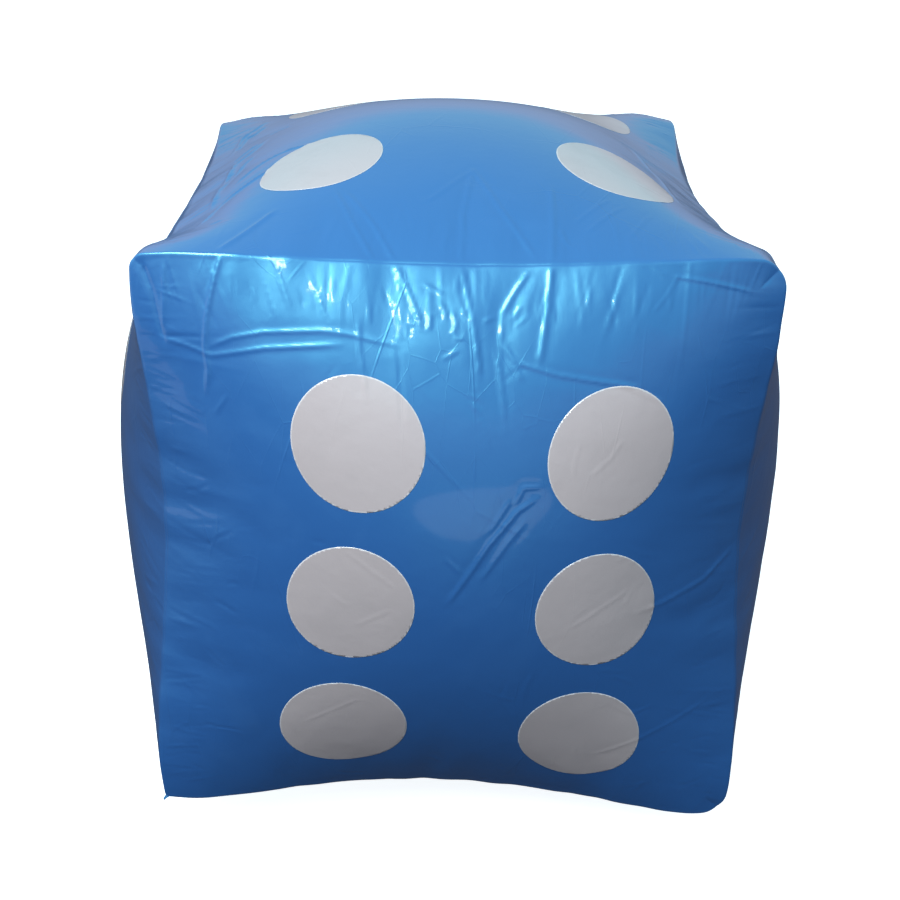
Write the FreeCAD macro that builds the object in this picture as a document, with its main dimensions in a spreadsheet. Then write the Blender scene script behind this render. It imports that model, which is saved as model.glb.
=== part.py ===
import FreeCAD, Part
import math
import os
import Sketcher

# A giant inflatable yard die: six pillowed panels of glossy film, welded edge to edge with the
# weld fins turned inside, printed pips, and a push-in air valve in the middle of the two's side.
# Millimetres, +Z up, origin on the floor under the middle of the die.
# The sides are numbered as on a right-handed die: six at -Y, one at +Y, two at +X, five at -X,
# four on top and three underneath.

Vector = FreeCAD.Vector
Rotation = FreeCAD.Rotation
Placement = FreeCAD.Placement
ORIGIN = Vector(0, 0, 0)
AXIS_X = Vector(1, 0, 0)
AXIS_Y = Vector(0, 1, 0)
AXIS_Z = Vector(0, 0, 1)

# Driving dimensions: each is set once here and kept in the document's sheet.
SIZES = (
    # the blown-up cube of film
    ("corner_half", 442.0, "distance of each corner from the die's middle, along each axis"),
    ("edge_pull", 14.0, "how far the middle of a weld is pulled in by the swelling sides"),
    ("edge_swell", 26.0, "how much the welds swell out between their middle and the corners"),
    ("dome_rise", 137.0, "how far the middle of a side swells out"),
    ("film", 0.35, "thickness of the film"),
    ("weld_margin", 8.0, "width of the weld fin inside each edge"),
    ("weld_relief", 45.0, "length at each corner that has no fin"),
    ("floor_flat", 8.0, "how much the weight flattens the side that lies on the ground"),
    ("valve_flat", 0.8, "how much the stiff valve flange flattens the film round it"),
    # the printed pips
    ("ink", 0.15, "thickness of the printed ink"),
    ("pip_radius", 91.0, "radius of every pip"),
    ("six_column", 173.0, "distance of the six's two columns from the middle of its print"),
    ("six_row", 235.0, "distance of the six's outer rows from the middle of its print"),
    ("six_aside", 20.0, "how far the six is printed towards the two's side"),
    ("six_lower", 35.0, "how far the six is printed below the middle of its side"),
    ("square_pitch", 215.0, "distance of the corner pips of the four, three and two from their middle"),
    ("five_pitch", 190.0, "distance of the five's corner pips from its middle one"),
    ("five_back", 50.0, "how far the five is printed towards the one"),
    ("four_back", 20.0, "how far the four is printed towards the one"),
    ("four_aside", 17.0, "how far the four is printed towards the two's side"),
    # the valve: distances along its axis are counted from the film's outer face
    ("valve_recess", 2.4, "depth of the stem's mouth when the valve is pushed in"),
    ("hole_radius", 17.4, "hole in the film for the valve"),
    ("flange_radius", 29.0, "outer radius of the flange that is welded under the film"),
    ("flange_bore", 16.0, "inner radius of the flange"),
    ("flange_thick", 1.0, "thickness of the flange at its root"),
    ("flange_rim", 0.5, "thickness of the flange at its edge"),
    ("flange_root", 4.0, "width of the flange's thick part beside the hole"),
    ("lip_gap", 0.2, "gap between the flange's lip and the hole in the film"),
    ("skirt_wall", 1.0, "wall of the soft cone that lets the stem travel, across its end"),
    ("skirt_drop", 0.5, "distance of the cone's foot below the top of the stem's waist"),
    ("stem_radius", 5.5, "outer radius of the stem"),
    ("stem_bore", 4.0, "bore of the stem"),
    ("stem_length", 20.0, "length of the stem"),
    ("mouth_radius", 6.5, "radius of the lip at the stem's mouth"),
    ("mouth_lip", 1.4, "height of that lip"),
    ("mouth_chamfer", 0.8, "chamfer of the bore's mouth"),
    ("waist_radius", 7.5, "radius of the ring where the cone joins the stem"),
    ("waist_drop", 10.0, "distance of that ring below the stem's mouth"),
    ("waist_height", 2.0, "height of that ring"),
    ("flap_radius", 5.2, "radius of the check flap"),
    ("flap_thick", 0.5, "thickness of the check flap"),
    ("flap_boss", 0.4, "height of the stiffening boss on the flap"),
    ("flap_tab", 4.0, "width of the flap's hinge tab"),
    ("plug_head", 8.0, "radius of the plug's head"),
    ("plug_thick", 2.2, "thickness of the plug's head"),
    ("plug_round", 0.5, "chamfer round the plug's head"),
    ("plug_depth", 5.0, "how far the plug's shank reaches into the bore"),
    ("plug_fit", 0.05, "running clearance of the shank at the bore's mouth"),
    ("plug_taper", 1.25, "how much thinner the shank is at its tip"),
    ("plug_tip", 0.4, "chamfer of the shank's tip"),
    ("strap_width", 5.0, "width of the strap between stem and plug"),
    ("strap_thick", 0.9, "thickness of the strap"),
    ("strap_bend", 2.0, "middle radius of the strap's bend"),
    ("strap_reach", 9.9, "distance of the bend's centre from the valve's axis"),
)

SIDE_TURNS = {
    "front": (AXIS_Z, -90.0),
    "back": (AXIS_Z, 90.0),
    "left": (AXIS_Z, 180.0),
    "right": (AXIS_Z, 0.0),
    "top": (AXIS_Y, -90.0),
    "bottom": (AXIS_Y, 90.0),
}

doc = FreeCAD.newDocument("yard_die")
sheet = doc.addObject("Spreadsheet::Sheet", "sizes")
size = {}
nodes = []


def fill_sheet():
    """Write every driving dimension into the sheet, with its name as the cell's alias."""
    for row, (name, value, meaning) in enumerate(SIZES, start=1):
        sheet.set(f"A{row}", str(value))
        sheet.setAlias(f"A{row}", name)
        sheet.set(f"B{row}", meaning)
        size[name] = value
    doc.recompute()


def bind(thing, **expressions):
    """Tie properties of an object to the sheet; a double underscore stands for a dot."""
    for path, text in expressions.items():
        thing.setExpression(path.replace("__", "."), text)


# ---------------------------------------------------------------- the film cube's surfaces

# Each side is one Bezier patch of degree 4. These are the patch's coefficients for t, for its
# square and for its fourth power, where t runs from -1 to 1 across the side.
DEGREE = 4
STEPS = range(DEGREE + 1)
LINE = [(2 * step - DEGREE) / DEGREE for step in STEPS]
SQUARE = [((DEGREE - 2 * step) ** 2 - DEGREE) / (DEGREE * (DEGREE - 1)) for step in STEPS]
FOURTH = [(-1) ** step for step in STEPS]


def dome_surface(grow):
    """The swollen +X side, moved outwards by grow.

    Its four welds lie on the cube's diagonal planes, so that neighbouring sides share them.
    The welds move by a share of grow, because the surface leans there.
    """
    swell = size["dome_rise"] + size["edge_swell"] - size["edge_pull"]
    slope = math.atan(2 * swell / (size["corner_half"] - size["edge_pull"]))
    weld_share = 1 / (math.cos(slope) + math.sin(slope))
    corner = size["corner_half"] + weld_share * grow
    rise = size["dome_rise"] + (1 - weld_share) * grow
    reach = []
    for square, fourth in zip(SQUARE, FOURTH):
        pulled = size["edge_pull"] * (1 - square)
        reach.append(corner - pulled + size["edge_swell"] * (square - fourth))
    surface = Part.BezierSurface()
    surface.increase(DEGREE, DEGREE)
    for u in STEPS:
        for v in STEPS:
            x = reach[u] + reach[v] - corner + rise * (1 - SQUARE[u]) * (1 - SQUARE[v])
            surface.setPole(u + 1, v + 1, Vector(x, LINE[u] * reach[v], LINE[v] * reach[u]))
    return surface


def dome(grow):
    """The face of that surface."""
    return dome_surface(grow).toShape()


def sewn(faces):
    """One solid from the faces that close it."""
    shell = Part.makeShell(faces)
    shell.sewShape()
    solid = Part.Solid(shell)
    if solid.Volume < 0:
        solid.reverse()
    return solid


def wedge(grow):
    """The share of the die behind one side: its dome, and four flat faces that meet inside."""
    face = dome(grow)
    faces = [face]
    for edge in face.Edges:
        start = edge.Vertexes[0].Point
        end = edge.Vertexes[-1].Point
        outline = Part.Wire([edge, Part.makeLine(end, ORIGIN), Part.makeLine(ORIGIN, start)])
        faces.append(Part.Face(outline))
    return sewn(faces)


def skin(grow, flat):
    """The dome's face, or its rim and a flat patch where it is pressed flat at x = flat."""
    if flat is None:
        return [dome(grow)]
    width = 4 * size["corner_half"]
    press = Part.makeBox(flat, width, width, Vector(0, -width / 2, -width / 2))
    pressed = wedge(grow).common(press)
    return [face for face in pressed.Faces if not through_middle(face)]


def through_middle(face):
    """Whether a face is one of the flat ones that meet at the die's middle."""
    if not isinstance(face.Surface, Part.Plane):
        return False
    reach = face.Surface.Position.dot(face.Surface.Axis)
    return abs(reach) < 1e-6


def layer(name, grow_out, grow_in, flat=None):
    """A layer of the +X side between two surfaces, mitred at its four edges."""
    flat_in = None if flat is None else flat - (grow_out - grow_in)
    faces = skin(grow_out, flat) + skin(grow_in, flat_in)
    for outer, inner in zip(dome(grow_out).Edges, dome(grow_in).Edges):
        first = Part.makeLine(outer.Vertexes[-1].Point, inner.Vertexes[-1].Point)
        last = Part.makeLine(inner.Vertexes[0].Point, outer.Vertexes[0].Point)
        faces.append(Part.Face(Part.Wire([outer, first, inner, last])))
    thing = doc.addObject("Part::Feature", name)
    thing.Shape = sewn(faces)
    return thing


# ---------------------------------------------------------------- the six panels

APEX = "sizes.corner_half - 2 * sizes.edge_pull + sizes.dome_rise"


def apex():
    """The distance that APEX names, from the die's middle to the middle of an unpressed side."""
    return size["corner_half"] - 2 * size["edge_pull"] + size["dome_rise"]


MIDDLE_HEIGHT = f"{APEX} - sizes.floor_flat + sizes.ink"


def node(kind, name):
    """A document object whose shape is one piece of the die, written to a file of its own."""
    piece = doc.addObject(kind, name)
    piece.Label = name
    nodes.append(piece)
    return piece


def turn_to_side(piece, side):
    """Turn a piece made for the +X side to its own side, at the height of the die's middle."""
    axis, angle = SIDE_TURNS[side]
    piece.Placement = Placement(ORIGIN, Rotation(axis, angle))
    bind(piece, Placement__Base__z=MIDDLE_HEIGHT)


def boolean(kind, name, base, tool):
    """A cut or a common of two objects."""
    thing = doc.addObject(kind, name)
    thing.Base = base
    thing.Tool = tool
    return thing


def make_fins():
    """The four weld fins inside the +X side's edges, rooted in the film's thickness.

    Each lies against a diagonal plane, where the next side's fin is welded to it.
    """
    root = dome_surface(-size["film"] / 2).uIso(1.0)
    edge = dome_surface(-size["film"] - size["weld_margin"]).uIso(1.0)
    reach = size["corner_half"]
    fin_half = reach - size["weld_relief"]
    start = root.parameter(Vector(reach, reach, -fin_half))
    end = root.parameter(Vector(reach, reach, fin_half))
    outline = Part.Wire([
        root.toShape(start, end),
        Part.makeLine(root.value(end), edge.value(end)),
        edge.toShape(start, end),
        Part.makeLine(edge.value(start), root.value(start)),
    ])
    thickness = Vector(1, -1, 0).normalize() * size["film"]
    first = Part.Face(outline).extrude(thickness)
    fins = []
    for index in range(4):
        fin = first.copy()
        fin.rotate(ORIGIN, AXIS_X, 90.0 * index)
        fins.append(fin)
    thing = doc.addObject("Part::Feature", "weld_fins")
    thing.Shape = Part.makeCompound(fins)
    return thing


def welded(kind, name, film, fins):
    """A panel: its film with the weld fins along its edges."""
    panel = kind(name)
    panel.Shapes = [film, fins]
    return panel


def plain_fuse(name):
    """A fused object that is no piece by itself."""
    return doc.addObject("Part::MultiFuse", name)


def fused_node(name):
    """A fused object that is a piece of the die."""
    return node("Part::MultiFuse", name)


def make_panels(fins):
    """Four plain panels, the one that lies on the ground, and the one that holds the valve."""
    plain = welded(plain_fuse, "plain_side", layer("plain_film", 0.0, -size["film"]), fins)
    for side in ("front", "back", "left", "top"):
        panel = node("Part::Compound", f"{side}_panel")
        panel.Links = [plain]
        turn_to_side(panel, side)

    floor_film = layer("floor_film", 0.0, -size["film"], apex() - size["floor_flat"])
    turn_to_side(welded(fused_node, "bottom_panel", floor_film, fins), "bottom")

    seat_film = layer("seat_film", 0.0, -size["film"], apex() - size["valve_flat"])
    hole = doc.addObject("Part::Cylinder", "valve_hole")
    hole.Placement = Placement(ORIGIN, Rotation(AXIS_Y, 90.0))
    bind(hole, Radius="sizes.hole_radius", Height="2 * sizes.corner_half")
    panel = node("Part::Cut", "right_panel")
    panel.Base = welded(plain_fuse, "valve_side", seat_film, fins)
    panel.Tool = hole
    turn_to_side(panel, "right")


# ---------------------------------------------------------------- the printed pips

def corner_pips(pitch):
    """The four pips at the corners of a square."""
    steps = ((-1, pitch), (1, pitch))
    return [(across, up) for across in steps for up in steps]


def pip_places():
    """Where the pips lie on each side, as a factor and the name of the size it multiplies."""
    columns = ((-1, "six_column"), (1, "six_column"))
    rows = ((-1, "six_row"), (0, "six_row"), (1, "six_row"))
    middle = ((0, "square_pitch"), (0, "square_pitch"))
    square = corner_pips("square_pitch")
    diagonal = [square[0], square[-1]]
    return {
        "front": [(across, up) for across in columns for up in rows],
        "back": [middle],
        "left": corner_pips("five_pitch") + [middle],
        "right": diagonal,
        "top": square,
        "bottom": diagonal + [middle],
    }


def print_shift(side):
    """How far a side's print lies off its middle, across and up, as ends of expressions."""
    if side == "front":
        return " + sizes.six_aside", " - sizes.six_lower"
    if side == "top":
        return " + sizes.four_back", " - sizes.four_aside"
    if side == "left":
        return " - sizes.five_back", ""
    return "", ""


def stamps(side, places):
    """Round bars through the +X side, one for each pip."""
    shift_across, shift_up = print_shift(side)
    bars = []
    for index, (across, up) in enumerate(places):
        bar = doc.addObject("Part::Cylinder", f"{side}_stamp_{index}")
        bar.Placement = Placement(ORIGIN, Rotation(AXIS_Y, 90.0))
        bind(
            bar,
            Radius="sizes.pip_radius",
            Height="2 * sizes.corner_half",
            Placement__Base__y=f"{across[0]} * sizes.{across[1]}{shift_across}",
            Placement__Base__z=f"{up[0]} * sizes.{up[1]}{shift_up}",
        )
        bars.append(bar)
    if len(bars) == 1:
        return bars[0]
    together = doc.addObject("Part::MultiFuse", f"{side}_stamps")
    together.Shapes = bars
    return together


def make_pips():
    """The printed ink of each side, a thin layer on the film inside the pips' circles."""
    ink = layer("ink_layer", size["ink"], 0.0)
    floor_level = apex() - size["floor_flat"] + size["ink"]
    floor_ink = layer("floor_ink_layer", size["ink"], 0.0, floor_level)
    for side, places in pip_places().items():
        pips = node("Part::Common", f"{side}_pips" if len(places) > 1 else f"{side}_pip")
        pips.Base = floor_ink if side == "bottom" else ink
        pips.Tool = stamps(side, places)
        turn_to_side(pips, side)


# ---------------------------------------------------------------- the air valve

VALVE_FACE = f"{APEX} - sizes.valve_flat"
MOUTH = "-sizes.valve_recess"
STEM_END = f"{MOUTH} - sizes.stem_length"
WAIST_TOP = f"{MOUTH} - sizes.waist_drop"
FLANGE_UNDER = "-sizes.film - sizes.flange_thick"
FILM_FACE = "0 mm"
ON_AXIS = "0 mm"


def seat_on_valve(piece):
    """Put a valve piece on the valve's axis, where its own x = 0 is the film's outer face."""
    bind(piece, Placement__Base__x=VALVE_FACE, Placement__Base__z=MIDDLE_HEIGHT)


def turned_piece(name, corners):
    """A piece turned about the valve's axis: its outline gives distance along it and radius."""
    body = node("PartDesign::Body", name)
    sketch = body.newObject("Sketcher::SketchObject", f"{name}_outline")
    plane = [thing for thing in body.Origin.OriginFeatures if thing.Role == "XY_Plane"][0]
    sketch.AttachmentSupport = [(plane, "")]
    sketch.MapMode = "FlatFace"
    count = len(corners)
    # a rough round outline first: the sheet's values then pull each corner to its place
    rough = []
    for index in range(count):
        angle = 2 * math.pi * index / count
        rough.append(Vector(10 * math.cos(angle), 20 + 10 * math.sin(angle), 0))
    for index in range(count):
        sketch.addGeometry(Part.LineSegment(rough[index], rough[(index + 1) % count]), False)
    for index in range(count):
        following = (index + 1) % count
        sketch.addConstraint(Sketcher.Constraint("Coincident", index, 2, following, 1))
    for index, (along, radius) in enumerate(corners):
        sides = (("DistanceX", rough[index].x, along), ("DistanceY", rough[index].y, radius))
        for way, start, text in sides:
            number = sketch.addConstraint(Sketcher.Constraint(way, index, 1, start))
            sketch.setExpression(f"Constraints[{number}]", text)
    turned = body.newObject("PartDesign::Revolution", f"{name}_turned")
    turned.Profile = sketch
    turned.ReferenceAxis = (sketch, ["H_Axis"])
    turned.Angle = 360.0
    body.Tip = turned
    seat_on_valve(body)
    return body


def make_flange():
    """The ring welded under the film, thin at its edge, with a lip that fills the hole."""
    lip = "sizes.hole_radius - sizes.lip_gap"
    root = "sizes.hole_radius + sizes.flange_root"
    turned_piece("valve_flange", (
        (FLANGE_UNDER, "sizes.flange_bore"),
        (FLANGE_UNDER, root),
        ("-sizes.film - sizes.flange_rim", "sizes.flange_radius"),
        ("-sizes.film", "sizes.flange_radius"),
        ("-sizes.film", lip),
        (FILM_FACE, lip),
        (FILM_FACE, f"(sizes.flange_bore + {lip}) / 2"),
        ("-sizes.film", "sizes.flange_bore"),
    ))


def make_skirt():
    """The soft cone from the flange down to the stem's waist, which folds over as it travels."""
    foot = f"{WAIST_TOP} - sizes.skirt_drop"
    turned_piece("valve_skirt", (
        (FLANGE_UNDER, "sizes.flange_bore"),
        (FLANGE_UNDER, "sizes.flange_bore + sizes.skirt_wall"),
        (f"{foot} - sizes.skirt_wall", "sizes.waist_radius"),
        (foot, "sizes.waist_radius"),
    ))


def make_stem():
    """The tube with its bore, the lip round its mouth and the waist ring that the cone grips."""
    waist_foot = f"{WAIST_TOP} - sizes.waist_height"
    turned_piece("valve_stem", (
        (STEM_END, "sizes.stem_bore"),
        (STEM_END, "sizes.stem_radius"),
        (waist_foot, "sizes.stem_radius"),
        (waist_foot, "sizes.waist_radius"),
        (WAIST_TOP, "sizes.waist_radius"),
        (WAIST_TOP, "sizes.stem_radius"),
        (f"{MOUTH} - sizes.mouth_lip", "sizes.stem_radius"),
        (f"{MOUTH} - sizes.mouth_lip", "sizes.mouth_radius"),
        (MOUTH, "sizes.mouth_radius"),
        (MOUTH, "sizes.stem_bore + sizes.mouth_chamfer"),
        (f"{MOUTH} - sizes.mouth_chamfer", "sizes.stem_bore"),
    ))


def make_plug():
    """The stopper: a flat head on the stem's mouth, and a tapered shank in its bore."""
    top = f"{MOUTH} + sizes.plug_thick"
    tip = f"{MOUTH} - sizes.plug_depth"
    shank = "sizes.stem_bore - sizes.plug_fit"
    tip_radius = f"{shank} - sizes.plug_taper"
    turned_piece("valve_plug", (
        (tip, ON_AXIS),
        (tip, f"{tip_radius} - sizes.plug_tip"),
        (f"{tip} + sizes.plug_tip", tip_radius),
        (MOUTH, shank),
        (MOUTH, "sizes.plug_head"),
        (f"{top} - sizes.plug_round", "sizes.plug_head"),
        (top, "sizes.plug_head - sizes.plug_round"),
        (top, ON_AXIS),
    ))


def round_bar(name, radius, start, length):
    """A cylinder along the valve's axis."""
    bar = doc.addObject("Part::Cylinder", name)
    bar.Placement = Placement(ORIGIN, Rotation(AXIS_Y, 90.0))
    bind(bar, Radius=radius, Height=length, Placement__Base__x=start)
    return bar


def make_flap():
    """The check flap under the stem's end: a disc with a boss, hinged by a tab at its top."""
    disc = round_bar("flap_disc", "sizes.flap_radius", f"{STEM_END} - sizes.flap_thick", "sizes.flap_thick")
    boss = round_bar(
        "flap_boss",
        "sizes.stem_bore - sizes.flap_boss",
        f"{STEM_END} - sizes.flap_thick - sizes.flap_boss",
        "sizes.flap_boss",
    )
    tab = doc.addObject("Part::Box", "flap_tab")
    bind(
        tab,
        Length="sizes.flap_thick",
        Width="sizes.flap_tab",
        Height="sizes.stem_radius / 2",
        Placement__Base__x=f"{STEM_END} - sizes.flap_thick",
        Placement__Base__y="-sizes.flap_tab / 2",
        Placement__Base__z="sizes.stem_radius / 2",
    )
    flap = node("Part::MultiFuse", "check_flap")
    flap.Shapes = [disc, boss, tab]
    seat_on_valve(flap)


def strap_leg(name, along, inner_end):
    """One straight leg of the strap, below the axis, from the bend in towards the valve."""
    leg = doc.addObject("Part::Box", name)
    bind(
        leg,
        Length="sizes.strap_thick",
        Width="sizes.strap_width",
        Height=f"sizes.strap_reach - {inner_end}",
        Placement__Base__x=f"{along} - sizes.strap_thick / 2",
        Placement__Base__y="-sizes.strap_width / 2",
        Placement__Base__z="-sizes.strap_reach",
    )
    return leg


def make_strap():
    """The strap that keeps the plug on the stem: two legs joined by a round bend below them."""
    upper = f"{MOUTH} + sizes.plug_thick / 2"
    lower = f"{upper} - 2 * sizes.strap_bend"
    bends = []
    for name, radius in (
        ("bend_outside", "sizes.strap_bend + sizes.strap_thick / 2"),
        ("bend_inside", "sizes.strap_bend - sizes.strap_thick / 2"),
    ):
        bend = doc.addObject("Part::Cylinder", name)
        bend.Placement = Placement(ORIGIN, Rotation(AXIS_X, -90.0))
        bend.Angle = 180.0
        bind(
            bend,
            Radius=radius,
            Height="sizes.strap_width",
            Placement__Base__x=f"{upper} - sizes.strap_bend",
            Placement__Base__y="-sizes.strap_width / 2",
            Placement__Base__z="-sizes.strap_reach",
        )
        bends.append(bend)
    loop = doc.addObject("Part::MultiFuse", "strap_loop")
    loop.Shapes = [
        boolean("Part::Cut", "strap_bend_ring", bends[0], bends[1]),
        strap_leg("strap_upper_leg", upper, "sizes.stem_radius"),
        strap_leg("strap_lower_leg", lower, "sizes.stem_radius / 2"),
    ]
    seats = doc.addObject("Part::MultiFuse", "strap_seats")
    seats.Shapes = [
        round_bar("plug_seat", "sizes.plug_head", MOUTH, "sizes.plug_thick"),
        round_bar("stem_seat", "sizes.stem_radius", STEM_END, "sizes.stem_length"),
    ]
    strap = node("Part::Cut", "valve_strap")
    strap.Base = loop
    strap.Tool = seats
    seat_on_valve(strap)


# ---------------------------------------------------------------- build, test and write

def check_document():
    """Stop if any object failed or any piece has no sound shape."""
    for thing in doc.Objects:
        if "Invalid" in thing.State or "Error" in thing.State:
            raise RuntimeError(f"{thing.Name} failed: {thing.State}")
    for piece in nodes:
        if piece.Shape.isNull() or not piece.Shape.isValid():
            raise RuntimeError(f"{piece.Label} has no sound shape")
        if not piece.Shape.Solids:
            raise RuntimeError(f"{piece.Label} holds no solid")


def write_pieces():
    """Write each piece to a file that carries its name, and print what it measures."""
    os.makedirs("parts", exist_ok=True)
    for piece in nodes:
        piece.Shape.exportStep(os.path.join("parts", f"{piece.Label}.step"))
        box = piece.Shape.optimalBoundingBox(False)
        print(
            f"{piece.Label}: {len(piece.Shape.Solids)} solid(s), {piece.Shape.Volume:.1f} mm3,"
            f" {box.XLength:.1f} x {box.YLength:.1f} x {box.ZLength:.1f} mm,"
            f" z {box.ZMin:.2f} to {box.ZMax:.2f}"
        )


fill_sheet()
make_panels(make_fins())
make_pips()
make_flange()
make_skirt()
make_stem()
make_plug()
make_flap()
make_strap()
doc.recompute()
check_document()
write_pieces()
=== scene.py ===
# %% [markdown]
# # A giant inflatable yard die
#
# The real die is six square panels of glossy vinyl film, welded edge to edge and blown up. Air
# swells each panel into a dome, and because film bends but hardly stretches, the spare film at
# the welds gathers into puckers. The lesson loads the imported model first. Its pieces stay where
# they are, and every new piece is laid over the one that it stands for.

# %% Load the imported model
import math

import bpy
import numpy as np
from mathutils import Matrix, Vector


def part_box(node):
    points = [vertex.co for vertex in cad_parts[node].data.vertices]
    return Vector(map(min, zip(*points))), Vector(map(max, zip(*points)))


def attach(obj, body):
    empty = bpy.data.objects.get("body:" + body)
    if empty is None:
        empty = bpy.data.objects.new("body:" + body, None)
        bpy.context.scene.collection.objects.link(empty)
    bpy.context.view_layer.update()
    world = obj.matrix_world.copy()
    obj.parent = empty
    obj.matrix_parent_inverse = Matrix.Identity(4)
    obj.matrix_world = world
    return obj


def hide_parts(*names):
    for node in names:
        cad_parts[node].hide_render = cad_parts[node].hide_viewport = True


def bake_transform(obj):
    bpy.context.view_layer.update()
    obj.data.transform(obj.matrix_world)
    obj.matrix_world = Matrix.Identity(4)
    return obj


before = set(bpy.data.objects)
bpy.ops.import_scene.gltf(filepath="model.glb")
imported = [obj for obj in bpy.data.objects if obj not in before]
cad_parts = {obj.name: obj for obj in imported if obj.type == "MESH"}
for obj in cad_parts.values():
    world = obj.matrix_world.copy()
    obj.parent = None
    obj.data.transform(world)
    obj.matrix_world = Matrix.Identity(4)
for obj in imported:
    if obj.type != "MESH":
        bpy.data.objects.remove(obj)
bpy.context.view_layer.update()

# %% [markdown]
# ## The die's own numbers
#
# Each side is the same swollen square, turned six ways about the middle of the die. The middle
# lies as high as the middle of the right-hand side's valve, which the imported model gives.
# Lengths are in metres.

# %% Sizes of the die
MIDDLE = Vector((0.0, 0.0, (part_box("valve_stem")[0][2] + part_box("valve_stem")[1][2]) / 2))
CORNER_HALF = 0.442        # each corner's distance from the middle, along each axis
EDGE_PULL = 0.014          # how far the middle of a weld is pulled in
EDGE_SWELL = 0.026         # how much a weld swells out towards its corners
DOME_RISE = 0.137          # how far the middle of a side swells out
FLAT_WIDTH = 0.895         # width of a panel before it is welded
FILM_FACE = 0.430          # distance on a panel, from its middle, that u = 1 stands for
PIP_RADIUS = 0.091
FLOOR_LEVEL = 0.0004       # the lower panel's film rests on its own ink
VALVE_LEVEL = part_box("valve_flange")[1][0]

SIDES = {
    "front": Matrix.Rotation(math.radians(-90), 3, "Z"),
    "back": Matrix.Rotation(math.radians(90), 3, "Z"),
    "left": Matrix.Rotation(math.radians(180), 3, "Z"),
    "right": Matrix.Identity(3),
    "top": Matrix.Rotation(math.radians(-90), 3, "Y"),
    "bottom": Matrix.Rotation(math.radians(90), 3, "Y"),
}
print("middle of the die", tuple(round(value, 5) for value in MIDDLE))

# %% [markdown]
# ## The camera
#
# The photograph looks down on the die from the front, a little from the left. The camera's
# place was found by laying the die's outline and pips over the photograph. It comes first,
# because everything later is judged through it.

# %% Camera
CAMERA_PLACE = (-0.0923, -2.0435, 1.4756)
CAMERA_YAW = 0.0452        # turned to the right of straight ahead, in radians
CAMERA_PITCH = 0.4278      # looking down
CAMERA_ROLL = 0.0287
CAMERA_LENS = 51.32        # in millimetres, as the sensor is
SENSOR = 36.0
CAMERA_SHIFT = (0.0028, -0.0266)
CAMERA_FAR = 50.0


def camera_axes():
    """Which way is ahead of the camera, to its right and above it."""
    ahead = Vector((
        math.sin(CAMERA_YAW) * math.cos(CAMERA_PITCH),
        math.cos(CAMERA_YAW) * math.cos(CAMERA_PITCH),
        -math.sin(CAMERA_PITCH),
    ))
    level = Vector((math.cos(CAMERA_YAW), -math.sin(CAMERA_YAW), 0.0))
    up = level.cross(ahead)
    right = math.cos(CAMERA_ROLL) * level + math.sin(CAMERA_ROLL) * up
    above = math.cos(CAMERA_ROLL) * up - math.sin(CAMERA_ROLL) * level
    return ahead, right, above


CAMERA_AXES = camera_axes()


def make_camera():
    """The camera at the photograph's viewing angle."""
    ahead, right, above = CAMERA_AXES
    turn = Matrix((right, above, -ahead)).transposed()
    bpy.ops.object.camera_add(location=CAMERA_PLACE, rotation=turn.to_euler())
    camera = bpy.context.object
    camera.name = "photo_camera"
    camera.data.sensor_width = SENSOR
    camera.data.lens = CAMERA_LENS
    camera.data.shift_x, camera.data.shift_y = CAMERA_SHIFT
    camera.data.clip_end = CAMERA_FAR
    bpy.context.scene.camera = camera
    return camera


camera = make_camera()
print("camera at", tuple(round(value, 3) for value in camera.location))

# %% [markdown]
# ## The swollen square
#
# A side could be sculpted, but a formula keeps the six sides joined: along a weld, both sides
# give the same points. u and v run from -1 to 1 across the side. The side is first described as
# if it faced +X, and then turned to its place.

# %% The side's formula


def weld_reach(t):
    """Distance of a weld from the die's middle, at t along it."""
    return CORNER_HALF - EDGE_PULL * (1 - t * t) + EDGE_SWELL * (t * t - t ** 4)


def dome(u, v):
    """Points of the side that faces +X, measured from the die's middle."""
    reach_u = weld_reach(u)
    reach_v = weld_reach(v)
    rise = DOME_RISE * (1 - u * u) * (1 - v * v)
    return np.stack([reach_u + reach_v - CORNER_HALF + rise, u * reach_v, v * reach_u], axis=-1)


def turned(points, side):
    """The same points or directions, turned to a side."""
    return points @ np.array(SIDES[side]).T


print("middle of a side lies", round(float(dome(0.0, 0.0)[0]), 4), "from the middle of the die")

# %% [markdown]
# ## Blowing up a cube of film
#
# Puckers are best made by the thing that makes them: film that is too wide for the space it
# spans. A cube is divided finely and swollen a little, so that the film knows which way is out,
# and Cloth blows it up with pressure and no gravity. A little seeded unevenness lets the puckers
# choose a place, the same one on each run. What is kept of it is only how far its puckers leave
# its own smooth shape, because the die's size is settled.

# %% Helpers for meshes
CLOTH_CELLS = 64
CLOTH_FRAMES = 36
CLOTH_NOISE = 0.0006
CLOTH_SWELL = 0.03
SMOOTHING_ROUNDS = 160     # rounds that leave only the slow swell, which isn't kept
FINE_ROUNDS = 3            # rounds that take the grain of the cells out of the puckers


def deselect():
    """Clear the selection, because an operator acts on all that is selected."""
    if bpy.context.mode != "OBJECT":
        bpy.ops.object.mode_set(mode="OBJECT")
    bpy.ops.object.select_all(action="DESELECT")


def read_points(mesh):
    """A mesh's vertices as rows of three numbers."""
    flat = np.empty(len(mesh.vertices) * 3)
    mesh.vertices.foreach_get("co", flat)
    return flat.reshape(-1, 3)


def write_points(mesh, points):
    """Put a mesh's vertices where the rows say."""
    mesh.vertices.foreach_set("co", np.ascontiguousarray(points, dtype=float).ravel())
    mesh.update()


def on_side(unit, side):
    """Which of a unit cube's points lie on a side, and their u and v there."""
    own = unit @ np.array(SIDES[side])
    chosen = own[:, 0] > 1 - 1e-6
    return chosen, own[chosen, 1], own[chosen, 2]


# %% Blow up the cube


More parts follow.
